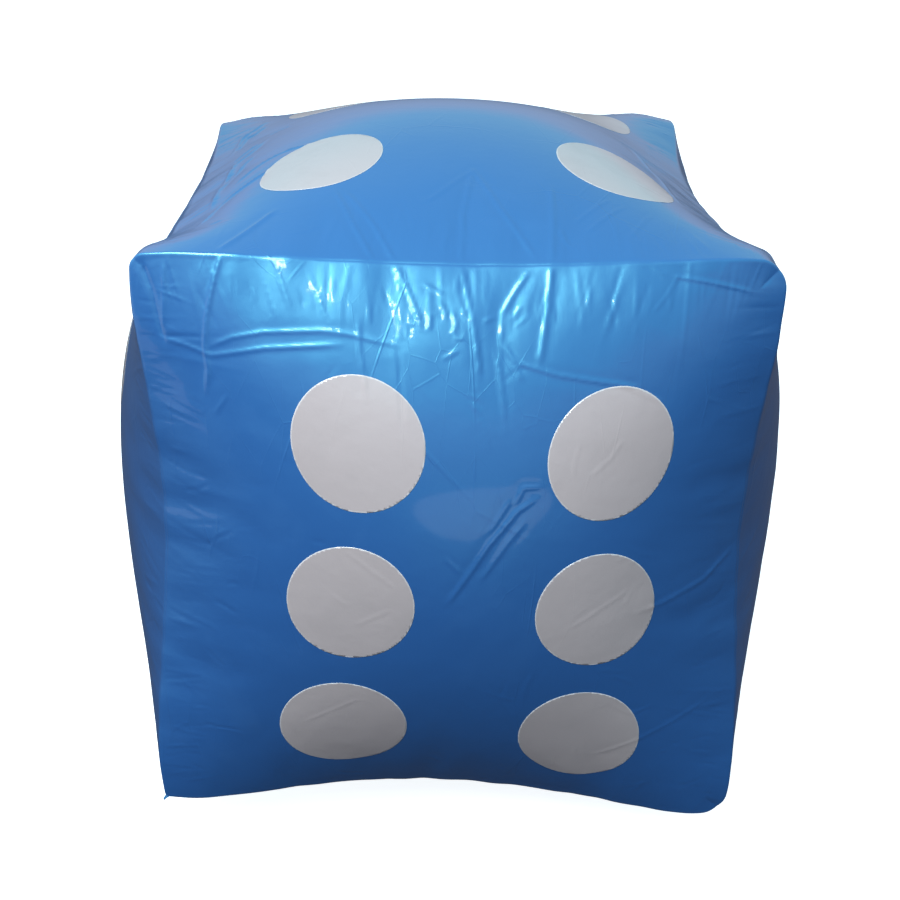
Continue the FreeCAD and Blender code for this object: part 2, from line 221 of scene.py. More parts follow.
def film_cube():
    """A unit cube whose sides are divided into cells."""
    deselect()
    bpy.ops.mesh.primitive_cube_add(size=2.0)
    cube = bpy.context.object
    bpy.ops.object.mode_set(mode="EDIT")
    bpy.ops.mesh.subdivide(number_cuts=CLOTH_CELLS - 1)
    bpy.ops.object.mode_set(mode="OBJECT")
    return cube


def swollen(unit):
    """The cube at its cut size, each side swollen a little."""
    points = unit * FLAT_WIDTH / 2
    for side in SIDES:
        chosen, u, v = on_side(unit, side)
        outward = np.array(SIDES[side] @ Vector((1.0, 0.0, 0.0)))
        points[chosen] += np.outer(CLOTH_SWELL * (1 - u * u) * (1 - v * v), outward)
    return points


def blow_up(cube, start):
    """Run Cloth with pressure inside and give the points that it ends at."""
    noise = np.random.default_rng(5).normal(0.0, CLOTH_NOISE, start.shape)
    write_points(cube.data, start + noise)
    cloth = cube.modifiers.new("air", "CLOTH")
    film = cloth.settings
    film.quality = 5
    film.mass = 0.02
    film.tension_stiffness = 40
    film.compression_stiffness = 40
    film.shear_stiffness = 16
    film.bending_stiffness = 0.05
    film.air_damping = 3
    film.use_pressure = True
    film.uniform_pressure_force = 4
    film.effector_weights.gravity = 0
    cloth.collision_settings.use_collision = False
    cloth.point_cache.frame_end = CLOTH_FRAMES
    for step in range(1, CLOTH_FRAMES + 1):
        bpy.context.scene.frame_set(step)
    blown = cube.evaluated_get(bpy.context.evaluated_depsgraph_get())
    points = read_points(blown.data)
    bpy.context.scene.frame_set(1)
    return points


def evened(field, edges, rounds):
    """A field on the cube's vertices, averaged again and again with its neighbours."""
    near = np.bincount(edges.ravel(), minlength=len(field))[:, None]
    for _ in range(rounds):
        total = np.zeros_like(field)
        for axis in range(3):
            for here, there in ((0, 1), (1, 0)):
                values = field[edges[:, there], axis]
                total[:, axis] += np.bincount(edges[:, here], values, len(field))
        field = 0.5 * field + 0.5 * total / near
    return field


def shared_swell(grids):
    """The part of the blowing up that all sides share: their average, however turned or mirrored."""
    mean = sum(grids.values()) / len(grids)
    mean = (mean + mean[::-1] * (1, -1, 1)) / 2
    mean = (mean + mean[:, ::-1] * (1, 1, -1)) / 2
    return (mean + mean.transpose(1, 0, 2)[..., [0, 2, 1]]) / 2


def puckers_of_cloth():
    """How far the cloth's own puckers leave the swell that its sides share, as grids."""
    cube = film_cube()
    unit = read_points(cube.data)
    places = {}
    for side in SIDES:
        chosen, u, v = on_side(unit, side)
        row = np.rint((u + 1) / 2 * CLOTH_CELLS).astype(int)
        column = np.rint((v + 1) / 2 * CLOTH_CELLS).astype(int)
        places[side] = np.flatnonzero(chosen), row, column
    away = np.zeros_like(unit)
    away = blow_up(cube, swollen(unit)) - unit * FLAT_WIDTH / 2
    edges = np.empty(len(cube.data.edges) * 2, dtype=int)
    cube.data.edges.foreach_get("vertices", edges)
    local = {}
    for side, (chosen, row, column) in places.items():
        local[side] = np.zeros((CLOTH_CELLS + 1, CLOTH_CELLS + 1, 3))
        local[side][row, column] = away[chosen] @ np.array(SIDES[side])
    swell = shared_swell(local)
    for side, (chosen, row, column) in places.items():
        own = turned((local[side] - swell)[row, column], side)
        away[chosen] = own
    edges = edges.reshape(-1, 2)
    away = evened(away, edges, FINE_ROUNDS) - evened(away, edges, SMOOTHING_ROUNDS)
    bpy.data.objects.remove(cube)
    print("the deepest pucker is", round(float(np.abs(away).max()) * 1000, 1), "mm")
    grids = {}
    for side, (chosen, row, column) in places.items():
        grids[side] = np.zeros((CLOTH_CELLS + 1, CLOTH_CELLS + 1, 3))
        grids[side][row, column] = away[chosen]
    return grids


PUCKERS = puckers_of_cloth()


def from_grid(grid, u, v):
    """A grid's value at u and v, by smooth curves through the four nearest rows and columns."""
    cells = len(grid) - 1

    def nearest(t):
        place = (t + 1) / 2 * cells
        start = np.clip(np.floor(place).astype(int), 0, cells - 1)
        f = place - start
        shares = (
            ((-0.5 * f + 1.0) * f - 0.5) * f,
            (1.5 * f - 2.5) * f * f + 1.0,
            ((-1.5 * f + 2.0) * f + 0.5) * f,
            (0.5 * f - 0.5) * f * f,
        )
        return [(np.clip(start + step, 0, cells), share) for step, share in zip((-1, 0, 1, 2), shares)]

    value = np.zeros(np.shape(u) + (3,))
    for row, row_share in nearest(u):
        for column, column_share in nearest(v):
            value += grid[row, column] * (row_share * column_share)[..., None]
    return value


# %% [markdown]
# ## What this die does of its own
#
# A real die isn't its formula. The corners are drawn in and round, each weld lies in a narrow
# groove, and here and there the film leans in or out. All of these are worked out from a
# point's place in space, not from the side it is on, so the sides stay joined at their welds.

# %% Corners, welds and leanings
CORNER_DRAW = 0.015        # how far a corner is drawn in
CORNER_SPREAD = 0.045      # how far from the corner that is felt
FRONT_ROUNDS = {(1, 1): 0.040, (1, -1): 0.036, (-1, 1): 0.022, (-1, -1): 0.010}
FRONT_ROUND_DEPTH = 0.13   # how far behind the front its corners' rounding is felt
FRONT_DRAW = 0.3           # share of the drawing in that the front's own corners keep
PUCKER_WELD = 0.50         # share of the cloth's puckers that is kept near the welds
PUCKER_MIDDLE = 0.15       # and in the middle of a side
PUCKER_FADE = 0.13
NORMAL_STEP = 0.004
TINY = 1e-12               # keeps a division by a length of nothing from failing
WELD_DEPTH = 0.0009        # depth of the groove over a weld
WELD_SPREAD = 0.0013
LEANINGS = (
    # where on the die, in half widths of it; which way, in metres; how far it is felt
    # the four corners of the front
    ((1.0, -1.0, -1.0), (-0.003, -0.013, -0.024), 0.20),
    ((1.0, -1.0, 1.0), (-0.004, 0.009, 0.008), 0.16),
    ((-1.0, -1.0, 1.0), (-0.007, 0.005, 0.009), 0.16),
    ((-1.0, -1.0, -1.0), (-0.004, -0.007, -0.005), 0.20),
    # the two far corners of the top
    ((-1.0, 1.0, 1.0), (0.008, -0.004, 0.006), 0.20),
    ((1.0, 1.0, 1.0), (-0.004, 0.006, 0.026), 0.20),
    # the front's upright welds
    ((1.0, -1.0, 0.3), (-0.023, 0.0, 0.0), 0.28),
    ((-1.0, -1.0, 0.3), (0.016, 0.0, 0.0), 0.28),
    ((-1.0, -1.0, -0.4), (-0.004, 0.0, 0.0), 0.28),
    # the top's welds at the left and at the right, which sag behind the near corners
    ((-1.0, -0.6, 1.0), (0.012, 0.0, -0.032), 0.16),
    ((-1.0, 0.0, 1.0), (0.011, 0.0, -0.014), 0.22),
    ((-1.0, 0.6, 1.0), (0.019, 0.0, -0.007), 0.20),
    ((1.0, -0.6, 1.0), (-0.010, 0.0, -0.020), 0.16),
    ((1.0, -0.2, 1.0), (-0.013, 0.0, -0.022), 0.20),
    ((1.0, 0.4, 1.0), (-0.030, 0.0, -0.013), 0.22),
    # the lower weld of the front, and the swell of the right-hand side
    ((-0.4, -1.0, -1.0), (0.0, 0.0, 0.015), 0.28),
    ((0.4, -1.0, -1.0), (0.0, 0.0, -0.004), 0.28),
    ((1.0, 0.0, 0.2), (0.008, 0.0, 0.0), 0.35),
)


def smooth_step(value):
    """0 below 0, 1 above 1, and a smooth rise between."""
    value = np.clip(value, 0.0, 1.0)
    return value * value * (3 - 2 * value)


def rounded_front(points):
    """Points of the film, the front's corners rounded as they are seen from straight ahead."""
    points = points.copy()
    near = smooth_step(1 - (points[..., 1] + CORNER_HALF) / FRONT_ROUND_DEPTH)
    for (across, up), radius in FRONT_ROUNDS.items():
        start = CORNER_HALF - radius
        right = points[..., 0] * across - start
        above = points[..., 2] * up - start
        inside = (right > 0) & (above > 0)
        longest = np.maximum(right, above)
        bend = np.where(inside, longest / (np.hypot(right, above) + TINY) - 1, 0.0) * near
        points[..., 0] += across * right * bend
        points[..., 2] += up * above * bend
    return points


def leaned(points):
    """Points of the film, measured from the die's middle, as this die has them."""
    reach = np.linalg.norm(points, axis=-1, keepdims=True)
    corners = np.sign(points) * CORNER_HALF
    away = np.linalg.norm(points - corners, axis=-1, keepdims=True)
    draw = CORNER_DRAW * np.where(points[..., 1:2] < 0, FRONT_DRAW, 1.0)
    points = points - points / reach * draw * np.exp(-((away / CORNER_SPREAD) ** 2))
    points = rounded_front(points)
    for place, push, spread in LEANINGS:
        away = np.linalg.norm(points - np.array(place) * CORNER_HALF, axis=-1, keepdims=True)
        points = points + np.array(push) * np.exp(-((away / spread) ** 2))
    return points


def film_base(side, u, v):
    """The film without its fine creases, in the die's own place."""
    from_weld = (1 - np.maximum(np.abs(u), np.abs(v))) * FILM_FACE
    share = PUCKER_MIDDLE + (PUCKER_WELD - PUCKER_MIDDLE) * np.exp(-((from_weld / PUCKER_FADE) ** 2))
    points = turned(dome(u, v), side) + from_grid(PUCKERS[side], u, v) * share[..., None]
    points = leaned(points)
    depth = WELD_DEPTH * np.exp(-((from_weld / WELD_SPREAD) ** 2))[..., None]
    points = points - points / np.linalg.norm(points, axis=-1, keepdims=True) * depth
    return points + np.array(MIDDLE)


def film_normals(side, u, v):
    """Which way the film faces, from two short steps along it."""
    along = film_base(side, u + NORMAL_STEP, v) - film_base(side, u - NORMAL_STEP, v)
    up = film_base(side, u, v + NORMAL_STEP) - film_base(side, u, v - NORMAL_STEP)
    normals = np.cross(along, up)
    return normals / np.linalg.norm(normals, axis=-1, keepdims=True)


# %% [markdown]
# ## Creases
#
# Vinyl keeps the sharp lines that it was packed with, and each one shows as a thin light line
# beside a dark one. A crease is raised along a line on the flat panel, in millimetres across and
# up from its middle. Every side gets the small puckers that run in from its welds, crumpled
# patches and short random creases, all seeded. The two sides that the photograph shows also get
# its own creases.

# %% How a crease is raised
MILLIMETRE = 0.001
EDGE = FILM_FACE / MILLIMETRE
CREST_ROUND = 0.4          # how blunt the crest of a crease is
TROUGH_SHARE = 0.35        # depth of the trough beside it, as a share of its height
TROUGH_SPREAD = 4          # and how far that reaches, in widths of the crest
CREASE_REACH = 9           # in widths; past this a crease is nothing
CREASE_ENDS = 0.12         # share of a crease's length in which it sinks at each end
CREASE_LEFT = 0.25         # share of its height that is left there


def near_line(across, up, line):
    """Each point's distance from a line of straight runs, and how far along the line it is."""
    corners = np.array(line, dtype=float)
    runs = np.diff(corners, axis=0)
    lengths = np.linalg.norm(runs, axis=1)
    before = np.concatenate([[0.0], np.cumsum(lengths)])
    best = np.full(across.shape, np.inf)
    along = np.zeros(across.shape)
    for corner, run, length, start in zip(corners, runs, lengths, before):
        part = ((across - corner[0]) * run[0] + (up - corner[1]) * run[1]) / length ** 2
        part = np.clip(part, 0.0, 1.0)
        gap = np.hypot(across - corner[0] - part * run[0], up - corner[1] - part * run[1])
        closer = gap < best
        best = np.where(closer, gap, best)
        along = np.where(closer, (start + part * length) / before[-1], along)
    return best, along


def raised_line(across, up, line, height, width):
    """A crease along a line: a sharp crest with a shallow trough beside it."""
    corners = np.array(line, dtype=float)
    margin = CREASE_REACH * width
    inside = (
        (across > corners[:, 0].min() - margin) & (across < corners[:, 0].max() + margin)
        & (up > corners[:, 1].min() - margin) & (up < corners[:, 1].max() + margin)
    )
    raised = np.zeros(across.shape)
    gap, along = near_line(across[inside], up[inside], line)
    crest = np.exp(-np.hypot(gap, CREST_ROUND) / width)
    trough = np.exp(-((gap / (TROUGH_SPREAD * width)) ** 2))
    ends = smooth_step(along / CREASE_ENDS) * smooth_step((1 - along) / CREASE_ENDS)
    raised[inside] = height * (crest - TROUGH_SHARE * trough) * (CREASE_LEFT + (1 - CREASE_LEFT) * ends)
    return raised


# %% Puckers that run in from the welds
PUCKER_SPACING = 13.0
PUCKER_BAND = (18.0, 62.0)     # how far from the weld the middle of a pucker lies
PUCKER_REACH = (8.0, 34.0)
PUCKER_WIDTH = (1.5, 4.2)
PUCKER_HEIGHT = (0.35, 1.5)
LONG_PUCKER = 0.16             # share of the puckers that are longer and wider
LONG_GROWTH = 2.4              # and how much longer those are
CORNER_BARE = 30.0             # how far from a corner the first pucker lies
IN_OR_OUT = (-0.8, 1.0)        # a pucker goes in or out
PUCKER_LEAN = 0.3
PUCKER_FAN = 0.25              # how much puckers near the corners fan out
PUCKER_CUT = 2.4               # in reaches; past this a pucker is nothing
PUCKER_TROUGH = 0.3
PUCKER_TROUGH_SPREAD = 3
PUCKER_UNEVEN = (0.4, 1.6)     # unevenness of the spacing


def weld_puckers(across, up, chance, strength):
    """Short ridges square to the four welds of a side, most of them in a band beside the weld."""
    raised = np.zeros(across.shape)
    for turn in range(4):
        along, inward = (
            (across, EDGE - up), (up, EDGE - across), (across, EDGE + up), (up, EDGE + across)
        )[turn]
        place = -EDGE + CORNER_BARE
        while place < EDGE - CORNER_BARE:
            grow = LONG_GROWTH if chance.random() < LONG_PUCKER else 1.0
            band = chance.uniform(*PUCKER_BAND)
            reach = chance.uniform(*PUCKER_REACH) * grow
            width = chance.uniform(*PUCKER_WIDTH) * grow ** 0.5
            height = chance.uniform(*PUCKER_HEIGHT) * chance.choice(IN_OR_OUT) * strength[turn]
            lean = chance.uniform(-PUCKER_LEAN, PUCKER_LEAN) - PUCKER_FAN * place / EDGE
            gap = along - place - lean * inward
            near = (np.abs(gap) < CREASE_REACH * width) & (np.abs(inward - band) < PUCKER_CUT * reach)
            fade = np.exp(-(((inward[near] - band) / reach) ** 2))
            crest = np.exp(-np.hypot(gap[near], CREST_ROUND) / width)
            trough = PUCKER_TROUGH * np.exp(-((gap[near] / (PUCKER_TROUGH_SPREAD * width)) ** 2))
            raised[near] += height * fade * (crest - trough)
            place += PUCKER_SPACING * chance.uniform(*PUCKER_UNEVEN)
    return raised


# %% Crumpled patches
CRUMPLE_PATCHES = 16
CRUMPLE_SIZE = (50.0, 120.0)
CRUMPLE_WAVE = (110.0, 200.0)
CRUMPLE_HEIGHT = (0.6, 1.8)
CRUMPLE_PLACE = (0.62, 0.95)   # how far out from a side's middle, from 0 to 1
CRUMPLE_CUT = 2.2              # in sizes; past this a patch is nothing


def crumpled_patches(across, up, chance):
    """Patches of flat facets between straight folds, as in film that was packed tight."""
    raised = np.zeros(across.shape)
    for _ in range(CRUMPLE_PATCHES):
        middle = chance.uniform(-CRUMPLE_PLACE[1], CRUMPLE_PLACE[1], 2)
        outward = int(np.abs(middle).argmax())
        middle[outward] = np.sign(middle[outward]) * chance.uniform(*CRUMPLE_PLACE)
        size = chance.uniform(*CRUMPLE_SIZE)
        angle = chance.uniform(0.0, math.pi)
        wave = chance.uniform(*CRUMPLE_WAVE)
        height = chance.uniform(*CRUMPLE_HEIGHT)
        phase = chance.uniform(0.0, 1.0)
        gap = np.hypot(across - middle[0] * EDGE, up - middle[1] * EDGE)
        near = gap < CRUMPLE_CUT * size
        run = (across[near] * math.cos(angle) + up[near] * math.sin(angle)) / wave + phase
        folded = np.abs(2 * (run - np.floor(run + 0.5))) - 0.5
        raised[near] += height * folded * np.exp(-((gap[near] / size) ** 2))
    return raised


# %% Short random creases
SHORT_CREASES = 150
SHORT_LENGTH = (10.0, 60.0)
SHORT_HEIGHT = (0.3, 1.0)
SHORT_WIDTH = (1.5, 2.6)
SHORT_PLACE = 0.93             # how far out from a side's middle one may lie
SHORT_KEPT = (0.3, 0.9)        # the nearer the middle, the more of them are left out
SHORT_TURN = 0.5               # how far they turn from square to the weld
SHORT_BEND = 2.5


def short_creases(across, up, chance, amount):
    """Small sharp creases, most of them near the welds and square to them."""
    raised = np.zeros(across.shape)
    for _ in range(int(SHORT_CREASES * amount)):
        middle = chance.uniform(-SHORT_PLACE, SHORT_PLACE, 2)
        outward = np.where(np.abs(middle) == np.abs(middle).max(), np.sign(middle), 0.0)
        way = outward + chance.normal(0.0, SHORT_TURN, 2)
        way = way / np.linalg.norm(way)
        if np.abs(middle).max() < chance.uniform(*SHORT_KEPT):
            continue
        half = 0.5 * chance.uniform(*SHORT_LENGTH)
        start = middle * EDGE - way * half
        bend = middle * EDGE + chance.normal(0.0, SHORT_BEND, 2)
        end = middle * EDGE + way * half
        height = chance.uniform(*SHORT_HEIGHT) * chance.choice((-1.0, 1.0))
        raised += raised_line(across, up, (start, bend, end), height, chance.uniform(*SHORT_WIDTH))
    return raised


# %% [markdown]
# ## The lines that the photograph shows
#
# The main creases of the front and the top were picked in the photograph, as pixels across
# and down in its frame of 900 by 900. A pixel isn't a place on the film, so the camera is used
# backwards. The smooth film is laid out as the camera sees it, and Newton's method closes in on
# the u and v that fall on the pixel. The camera's values here are the ones that its fit gave,
# before they were rounded for Blender's camera. A place is rounded to whole millimetres.

# %% From a pixel to a place on the film
PHOTO_DISTANCE = 2.24811           # from the camera to the die's middle
PHOTO_FOCAL = 1282.995             # focal length, in pixels
PHOTO_CENTRE = (447.48, 426.09)    # the pixel that shows the die's middle
SEARCH_CELLS = 80
NEWTON_ROUNDS = 12
NEWTON_STEP = 1e-4


def seen_at(side, u, v):
    """The pixels that show places of a side's smooth film."""
    ahead, right, above = (np.array(way) for way in CAMERA_AXES)
    points = turned(dome(u, v), side) + ahead * PHOTO_DISTANCE
    scale = PHOTO_FOCAL / (points @ ahead)
    across = PHOTO_CENTRE[0] + scale * (points @ right)
    return np.stack([across, PHOTO_CENTRE[1] - scale * (points @ above)], axis=-1)


def film_place(side, pixel):
    """The place on a side's panel that a pixel shows, in whole millimetres from its middle."""
    even = np.linspace(-1.0, 1.0, SEARCH_CELLS + 1)
    gap = ((seen_at(side, *np.meshgrid(even, even, indexing="ij")) - pixel) ** 2).sum(axis=-1)
    place = even[list(np.unravel_index(gap.argmin(), gap.shape))]
    for _ in range(NEWTON_ROUNDS):
        here = seen_at(side, *place)
        aside = seen_at(side, place[0] + NEWTON_STEP, place[1]) - here
        onward = seen_at(side, place[0], place[1] + NEWTON_STEP) - here
        slopes = np.stack([aside, onward], axis=-1) / NEWTON_STEP
        place = place + np.linalg.solve(slopes, pixel - here)
    return tuple(int(value) for value in np.rint(place * EDGE))


print("the pixel (450, 450) shows", film_place("front", (450, 450)), "on the front's panel")

# %% [markdown]
# ## The creases, row by row
#
# Each row is a crease: its height in millimetres (below zero for a fold that goes in), its width
# in millimetres, and the pixels that it runs through.

# %% Creases of the front
FRONT_CREASES = (
    # the long fold that comes down from the weld at the left
    (3.1, 3.2, ((220, 251), (212, 277), (202, 317), (199, 347), (202, 370), (199, 392))),
    # the two folds that cross the upper left
    (1.8, 2.5, ((152, 337), (180, 346), (205, 357), (260, 349), (295, 347), (337, 345))),
    (1.6, 2.5, ((200, 349), (227, 339), (260, 333), (317, 331), (345, 334), (397, 346))),
    # the folds that run into the upper left pip
    (1.8, 2.5, ((356, 318), (357, 350), (365, 400))),
    (-1.8, 2.5, ((397, 346), (400, 385), (401, 430))),
    # the lines that come over the weld near the middle
    (1.9, 2.1, ((395, 264), (407, 290), (422, 328))),
    (1.9, 2.5, ((461, 264), (468, 300), (477, 345), (480, 380))),
    # the long ridge right of the middle
    (3.0, 3.2, ((553, 265), (550, 305), (542, 365))),
    # the forked fold in the middle
    (2.4, 2.5, ((530, 272), (516, 292), (504, 312), (502, 345))),
    (1.8, 2.1, ((502, 345), (521, 364), (560, 375), (650, 388))),
    (1.4, 2.1, ((502, 345), (500, 375), (508, 434))),
    (1.1, 1.9, ((473, 399), (492, 448))),
    # the small bright squiggles under the weld
    (1.8, 1.8, ((451.3, 311), (455.6, 321.1), (455.6, 327.1), (451.3, 335))),
    (1.9, 1.8, ((440.1, 303.9), (444.4, 310.8), (446.2, 320.9))),
    (2.4, 2.5, ((429.5, 314.7), (428.9, 330.5))),
    (1.8, 1.8, ((401.3, 319.1), (399.6, 337.9))),
    (1.5, 1.8, ((405.3, 322), (404.9, 337.9))),
    (1.4, 1.8, ((408, 323), (416, 325), (424, 333))),
    (1.8, 1.8, ((454.8, 333.5), (457, 339.5), (463.7, 338.9))),
    (1.6, 1.8, ((462, 304), (466, 320))),
    (1.6, 1.8, ((443.4, 359.1), (456.8, 351.2))),
    (1.5, 2.0, ((515, 318.7), (521.3, 307.3))),
    (1.6, 2.2, ((484.8, 322.1), (494.7, 317.9))),
    (1.4, 1.8, ((423.6, 283.9), (442, 294.8))),
    (-1.4, 2.0, ((384, 289.6), (388.4, 306.9))),
    (1.4, 1.8, ((471, 394), (478, 399))),
    (1.4, 1.8, ((471, 403), (480, 412))),
    (1.4, 1.8, ((553.6, 304.4), (556, 323))),
    # the lines that run down between the upper pips
    (2.4, 2.2, ((475.5, 339.9), (478.9, 362.5), (480.7, 370.5))),
    (1.9, 2.1, ((504.8, 344.8), (513.4, 359.6), (523, 379.3))),
    (1.9, 2.0, ((495.2, 350.7), (501.4, 372.9), (506.5, 413.3))),
    # the lines under the weld at the right
    (1.5, 2.1, ((680, 277), (722, 285), (765, 295))),
    (1.1, 1.9, ((650, 263), (671, 277))),
    (-1.4, 2.5, ((615, 302), (620, 328))),
    # the bundle between the middle pips, which runs down to the left
    (1.9, 2.5, ((544, 488), (526, 488), (517, 506))),
    (2.7, 2.7, ((540, 499), (520, 512), (491, 545), (468, 577), (447, 606))),
    (1.8, 2.5, ((512, 501), (491, 533))),
    (1.9, 2.5, ((527, 523), (510, 543), (482, 580))),
    (1.1, 2.1, ((446, 560), (461, 574))),
    # the long lines at the lower right
    (1.6, 2.7, ((743.5, 548.5), (713, 579), (671, 602), (644, 612))),
    (0.9, 2.1, ((636, 589), (572, 629))),
    (0.9, 2.5, ((710, 692), (654, 726), (594, 751))),
    # the lines in the left pips
    (1.1, 1.9, ((343, 552), (395, 590))),
    (0.8, 1.9, ((330, 597), (345, 607))),
    (0.9, 1.9, ((355, 626), (390, 611))),
    (0.9, 1.9, ((305, 726), (360, 702))),
    # the hollow at the upper left corner
    (-3.4, 4.3, ((137, 262), (148, 290), (158, 340))),
    (1.9, 3.2, ((160, 262), (160, 300), (158, 330))),
)

# %% Creases of the top
TOP_CREASES = (
    # the fold at the near left corner
    (3.6, 3.6, ((217, 250), (248, 225), (272, 206))),
    # the two lines left of the middle
    (2.2, 2.4, ((333, 188), (352, 225), (373, 263))),
    (2.3, 2.4, ((343, 190), (375, 228), (395, 264))),
    # the star
    (2.5, 2.4, ((473, 170), (463, 214), (461, 264))),
    (2.3, 2.4, ((473, 170), (500, 208), (537, 259))),
    (1.8, 2.4, ((473, 170), (440, 193), (425, 202))),
    # the ridge right of the middle
    (2.5, 3.6, ((552, 186), (554, 226), (553, 264))),
    # small lines near the right pip
    (1.8, 2.1, ((577, 222), (612, 198))),
    (1.6, 2.1, ((588, 232), (627, 205))),
    (1.8, 2.1, ((560, 228), (566, 240), (574, 248))),
    (1.3, 2.1, ((633, 238), (657, 212))),
    # wrinkles that run from the left weld towards the back
    (3.2, 3.2, ((188.7, 208.9), (210.9, 188.2), (224.2, 180), (244.9, 170.4), (267.1, 160.1))),
    (2.9, 3.2, (
        (227.1, 172.6), (243.4, 162.3), (256.7, 154.9), (274.5, 147.5), (290.7, 143.1), (307, 140.8),
    )),
    (2.7, 3.2, ((210.9, 177.1), (227.1, 163.8), (237.5, 154.9), (247.8, 148.2))),
    (3.6, 4.2, ((199.6, 190.8), (212.4, 174.1), (227.1, 156.4), (244.9, 144.5), (259.7, 132.7))),
    (2.7, 3.2, ((222.7, 154.9), (233.1, 147.5), (244.9, 140.1), (252.3, 136.4))),
    (3.6, 3.8, ((220.3, 147.5), (230.1, 132.7), (241.9, 126), (255.2, 119.4))),
    (2.9, 3.2, ((225.2, 143.1), (234.5, 132.7), (244.9, 128.3), (258.2, 120.9))),
    (2.2, 3.2, ((259.7, 129.7), (271.5, 124.6), (284.8, 120.9))),
    (1.8, 3.0, ((202, 212.5), (213.8, 208.1))),
    # the long wrinkle near the right weld
    (2.5, 4.2, ((690, 190), (668, 165), (640, 140))),
)


def on_panel(side, rows):
    """The rows of a side, with their pixels turned into places on its panel."""
    return [(tall, width, [film_place(side, pixel) for pixel in line]) for tall, width, line in rows]


CREASES = {"front": on_panel("front", FRONT_CREASES), "top": on_panel("top", TOP_CREASES)}
print("creases picked by eye", {side: len(rows) for side, rows in CREASES.items()})

# %% The heights of a side's creases
WELD_STRENGTH = {
    # at the welds where v = 1, u = 1, v = -1 and u = -1
    "front": (1.0, 0.45, 0.35, 0.6),
    "top": (0.9, 1.0, 0.9, 0.6),
    "back": (0.9, 0.7, 0.6, 0.7),
    "left": (0.9, 0.7, 0.6, 0.7),
    "right": (0.9, 0.7, 0.6, 0.7),
    "bottom": (0.6, 0.6, 0.6, 0.6),
}
SHORT_AMOUNT = {"front": 0.9, "top": 0.8, "back": 1.0, "left": 1.0, "right": 1.0, "bottom": 0.6}
WELD_BARE = 9.0            # a crease fades out this near to a weld, in millimetres


def film_height(side, u, v):
    """Height of the creases over the film, in metres."""
    across = u * FILM_FACE / MILLIMETRE
    up = v * FILM_FACE / MILLIMETRE
    chance = np.random.default_rng(100 + list(SIDES).index(side))
    height = weld_puckers(across, up, chance, WELD_STRENGTH[side])
    height += short_creases(across, up, chance, SHORT_AMOUNT[side])
    height += crumpled_patches(across, up, chance)
    for tall, width, line in CREASES.get(side, ()):
        height += raised_line(across, up, line, tall, width)
    from_weld = (1 - np.maximum(np.abs(u), np.abs(v))) * FILM_FACE / MILLIMETRE
    return height * smooth_step(from_weld / WELD_BARE) * MILLIMETRE


# %% [markdown]
# ## The film sheets
#
# Each side is a sheet of its own, cut square and welded to its four neighbours. A grid is added,
# its lines are drawn closer together near the welds, where the small puckers are, and numpy puts
# every vertex on the swollen and creased film. The ground presses the lower side flat, and the
# valve's stiff flange does the same to a ring on the right-hand side.

# %% Points of the finished film
FILM_CELLS = 308
CROWDING = 0.4             # share of the crowding of the grid's lines at the welds
FLANGE_FLAT = (0.030, 0.080)


def film_points(side, u, v):
    """Points of the finished film."""
    points = film_base(side, u, v) + film_normals(side, u, v) * film_height(side, u, v)[..., None]
    if side == "right":
        reach = np.hypot(u, v) * FILM_FACE
        start, end = FLANGE_FLAT
        flat = smooth_step((end - reach) / (end - start))
        points[..., 0] += (VALVE_LEVEL - points[..., 0]) * flat
    points[..., 2] = np.maximum(points[..., 2], FLOOR_LEVEL)
    return points


def grid_lines():
    """Where the lines of a sheet's grid lie, from -1 to 1."""
    even = np.linspace(-1.0, 1.0, FILM_CELLS + 1)
    return (1 - CROWDING) * even + CROWDING * np.sin(math.pi / 2 * even)


# %% A ring of the grid for the valve's hole
HOLE_RADIUS = 0.0174
RING_FADE = (0.024, 0.060)


def with_round_hole(u, v):
    """Bend the grid's lines near the middle of a side into rings, one of them at the hole."""
    square = np.maximum(np.abs(u), np.abs(v)) * FILM_FACE
    reach = np.hypot(u, v) * FILM_FACE + TINY
    lines = grid_lines()
    lines = lines[lines > 0] * FILM_FACE
    nearest = lines[np.abs(lines - HOLE_RADIUS).argmin()]
    start, end = RING_FADE
    share = smooth_step((end - square) / (end - start))
    grow = 1 + (HOLE_RADIUS / nearest - 1) * share
    factor = (1 + (square / reach - 1) * share) * grow
    return u * factor, v * factor


def sheet_places(side):
    """u and v of every crossing of a sheet's grid."""
    u, v = np.meshgrid(grid_lines(), grid_lines(), indexing="ij")
    if side == "right":
        u, v = with_round_hole(u, v)
    return u, v


PLACES = {side: sheet_places(side) for side in SIDES}
FILM = {side: film_points(side, *PLACES[side]) for side in SIDES}
highest = [max(film[..., axis].max() for film in FILM.values()) for axis in range(3)]
print("the film reaches", [round(float(value), 4) for value in highest])

# %% Make the sheets


def add_grid(name, columns, rows):
    """A square grid from the mesh primitive, and the column and row of each of its vertices."""
    deselect()
    bpy.ops.mesh.primitive_grid_add(x_subdivisions=columns, y_subdivisions=rows, size=2.0)
    grid = bpy.context.object
    grid.name = name
    points = read_points(grid.data)
    column = np.rint((points[:, 0] + 1) / 2 * columns).astype(int)
    row = np.rint((points[:, 1] + 1) / 2 * rows).astype(int)
    return grid, column, row


def write_film_map(mesh, across, up):
    """A UV map in metres of flat film."""
    layer = mesh.uv_layers[0]
    layer.name = "film"
    corners = np.empty(len(mesh.loops), dtype=int)
    mesh.loops.foreach_get("vertex_index", corners)
    flat = np.stack([across[corners], up[corners]], axis=-1)
    layer.data.foreach_set("uv", flat.ravel())


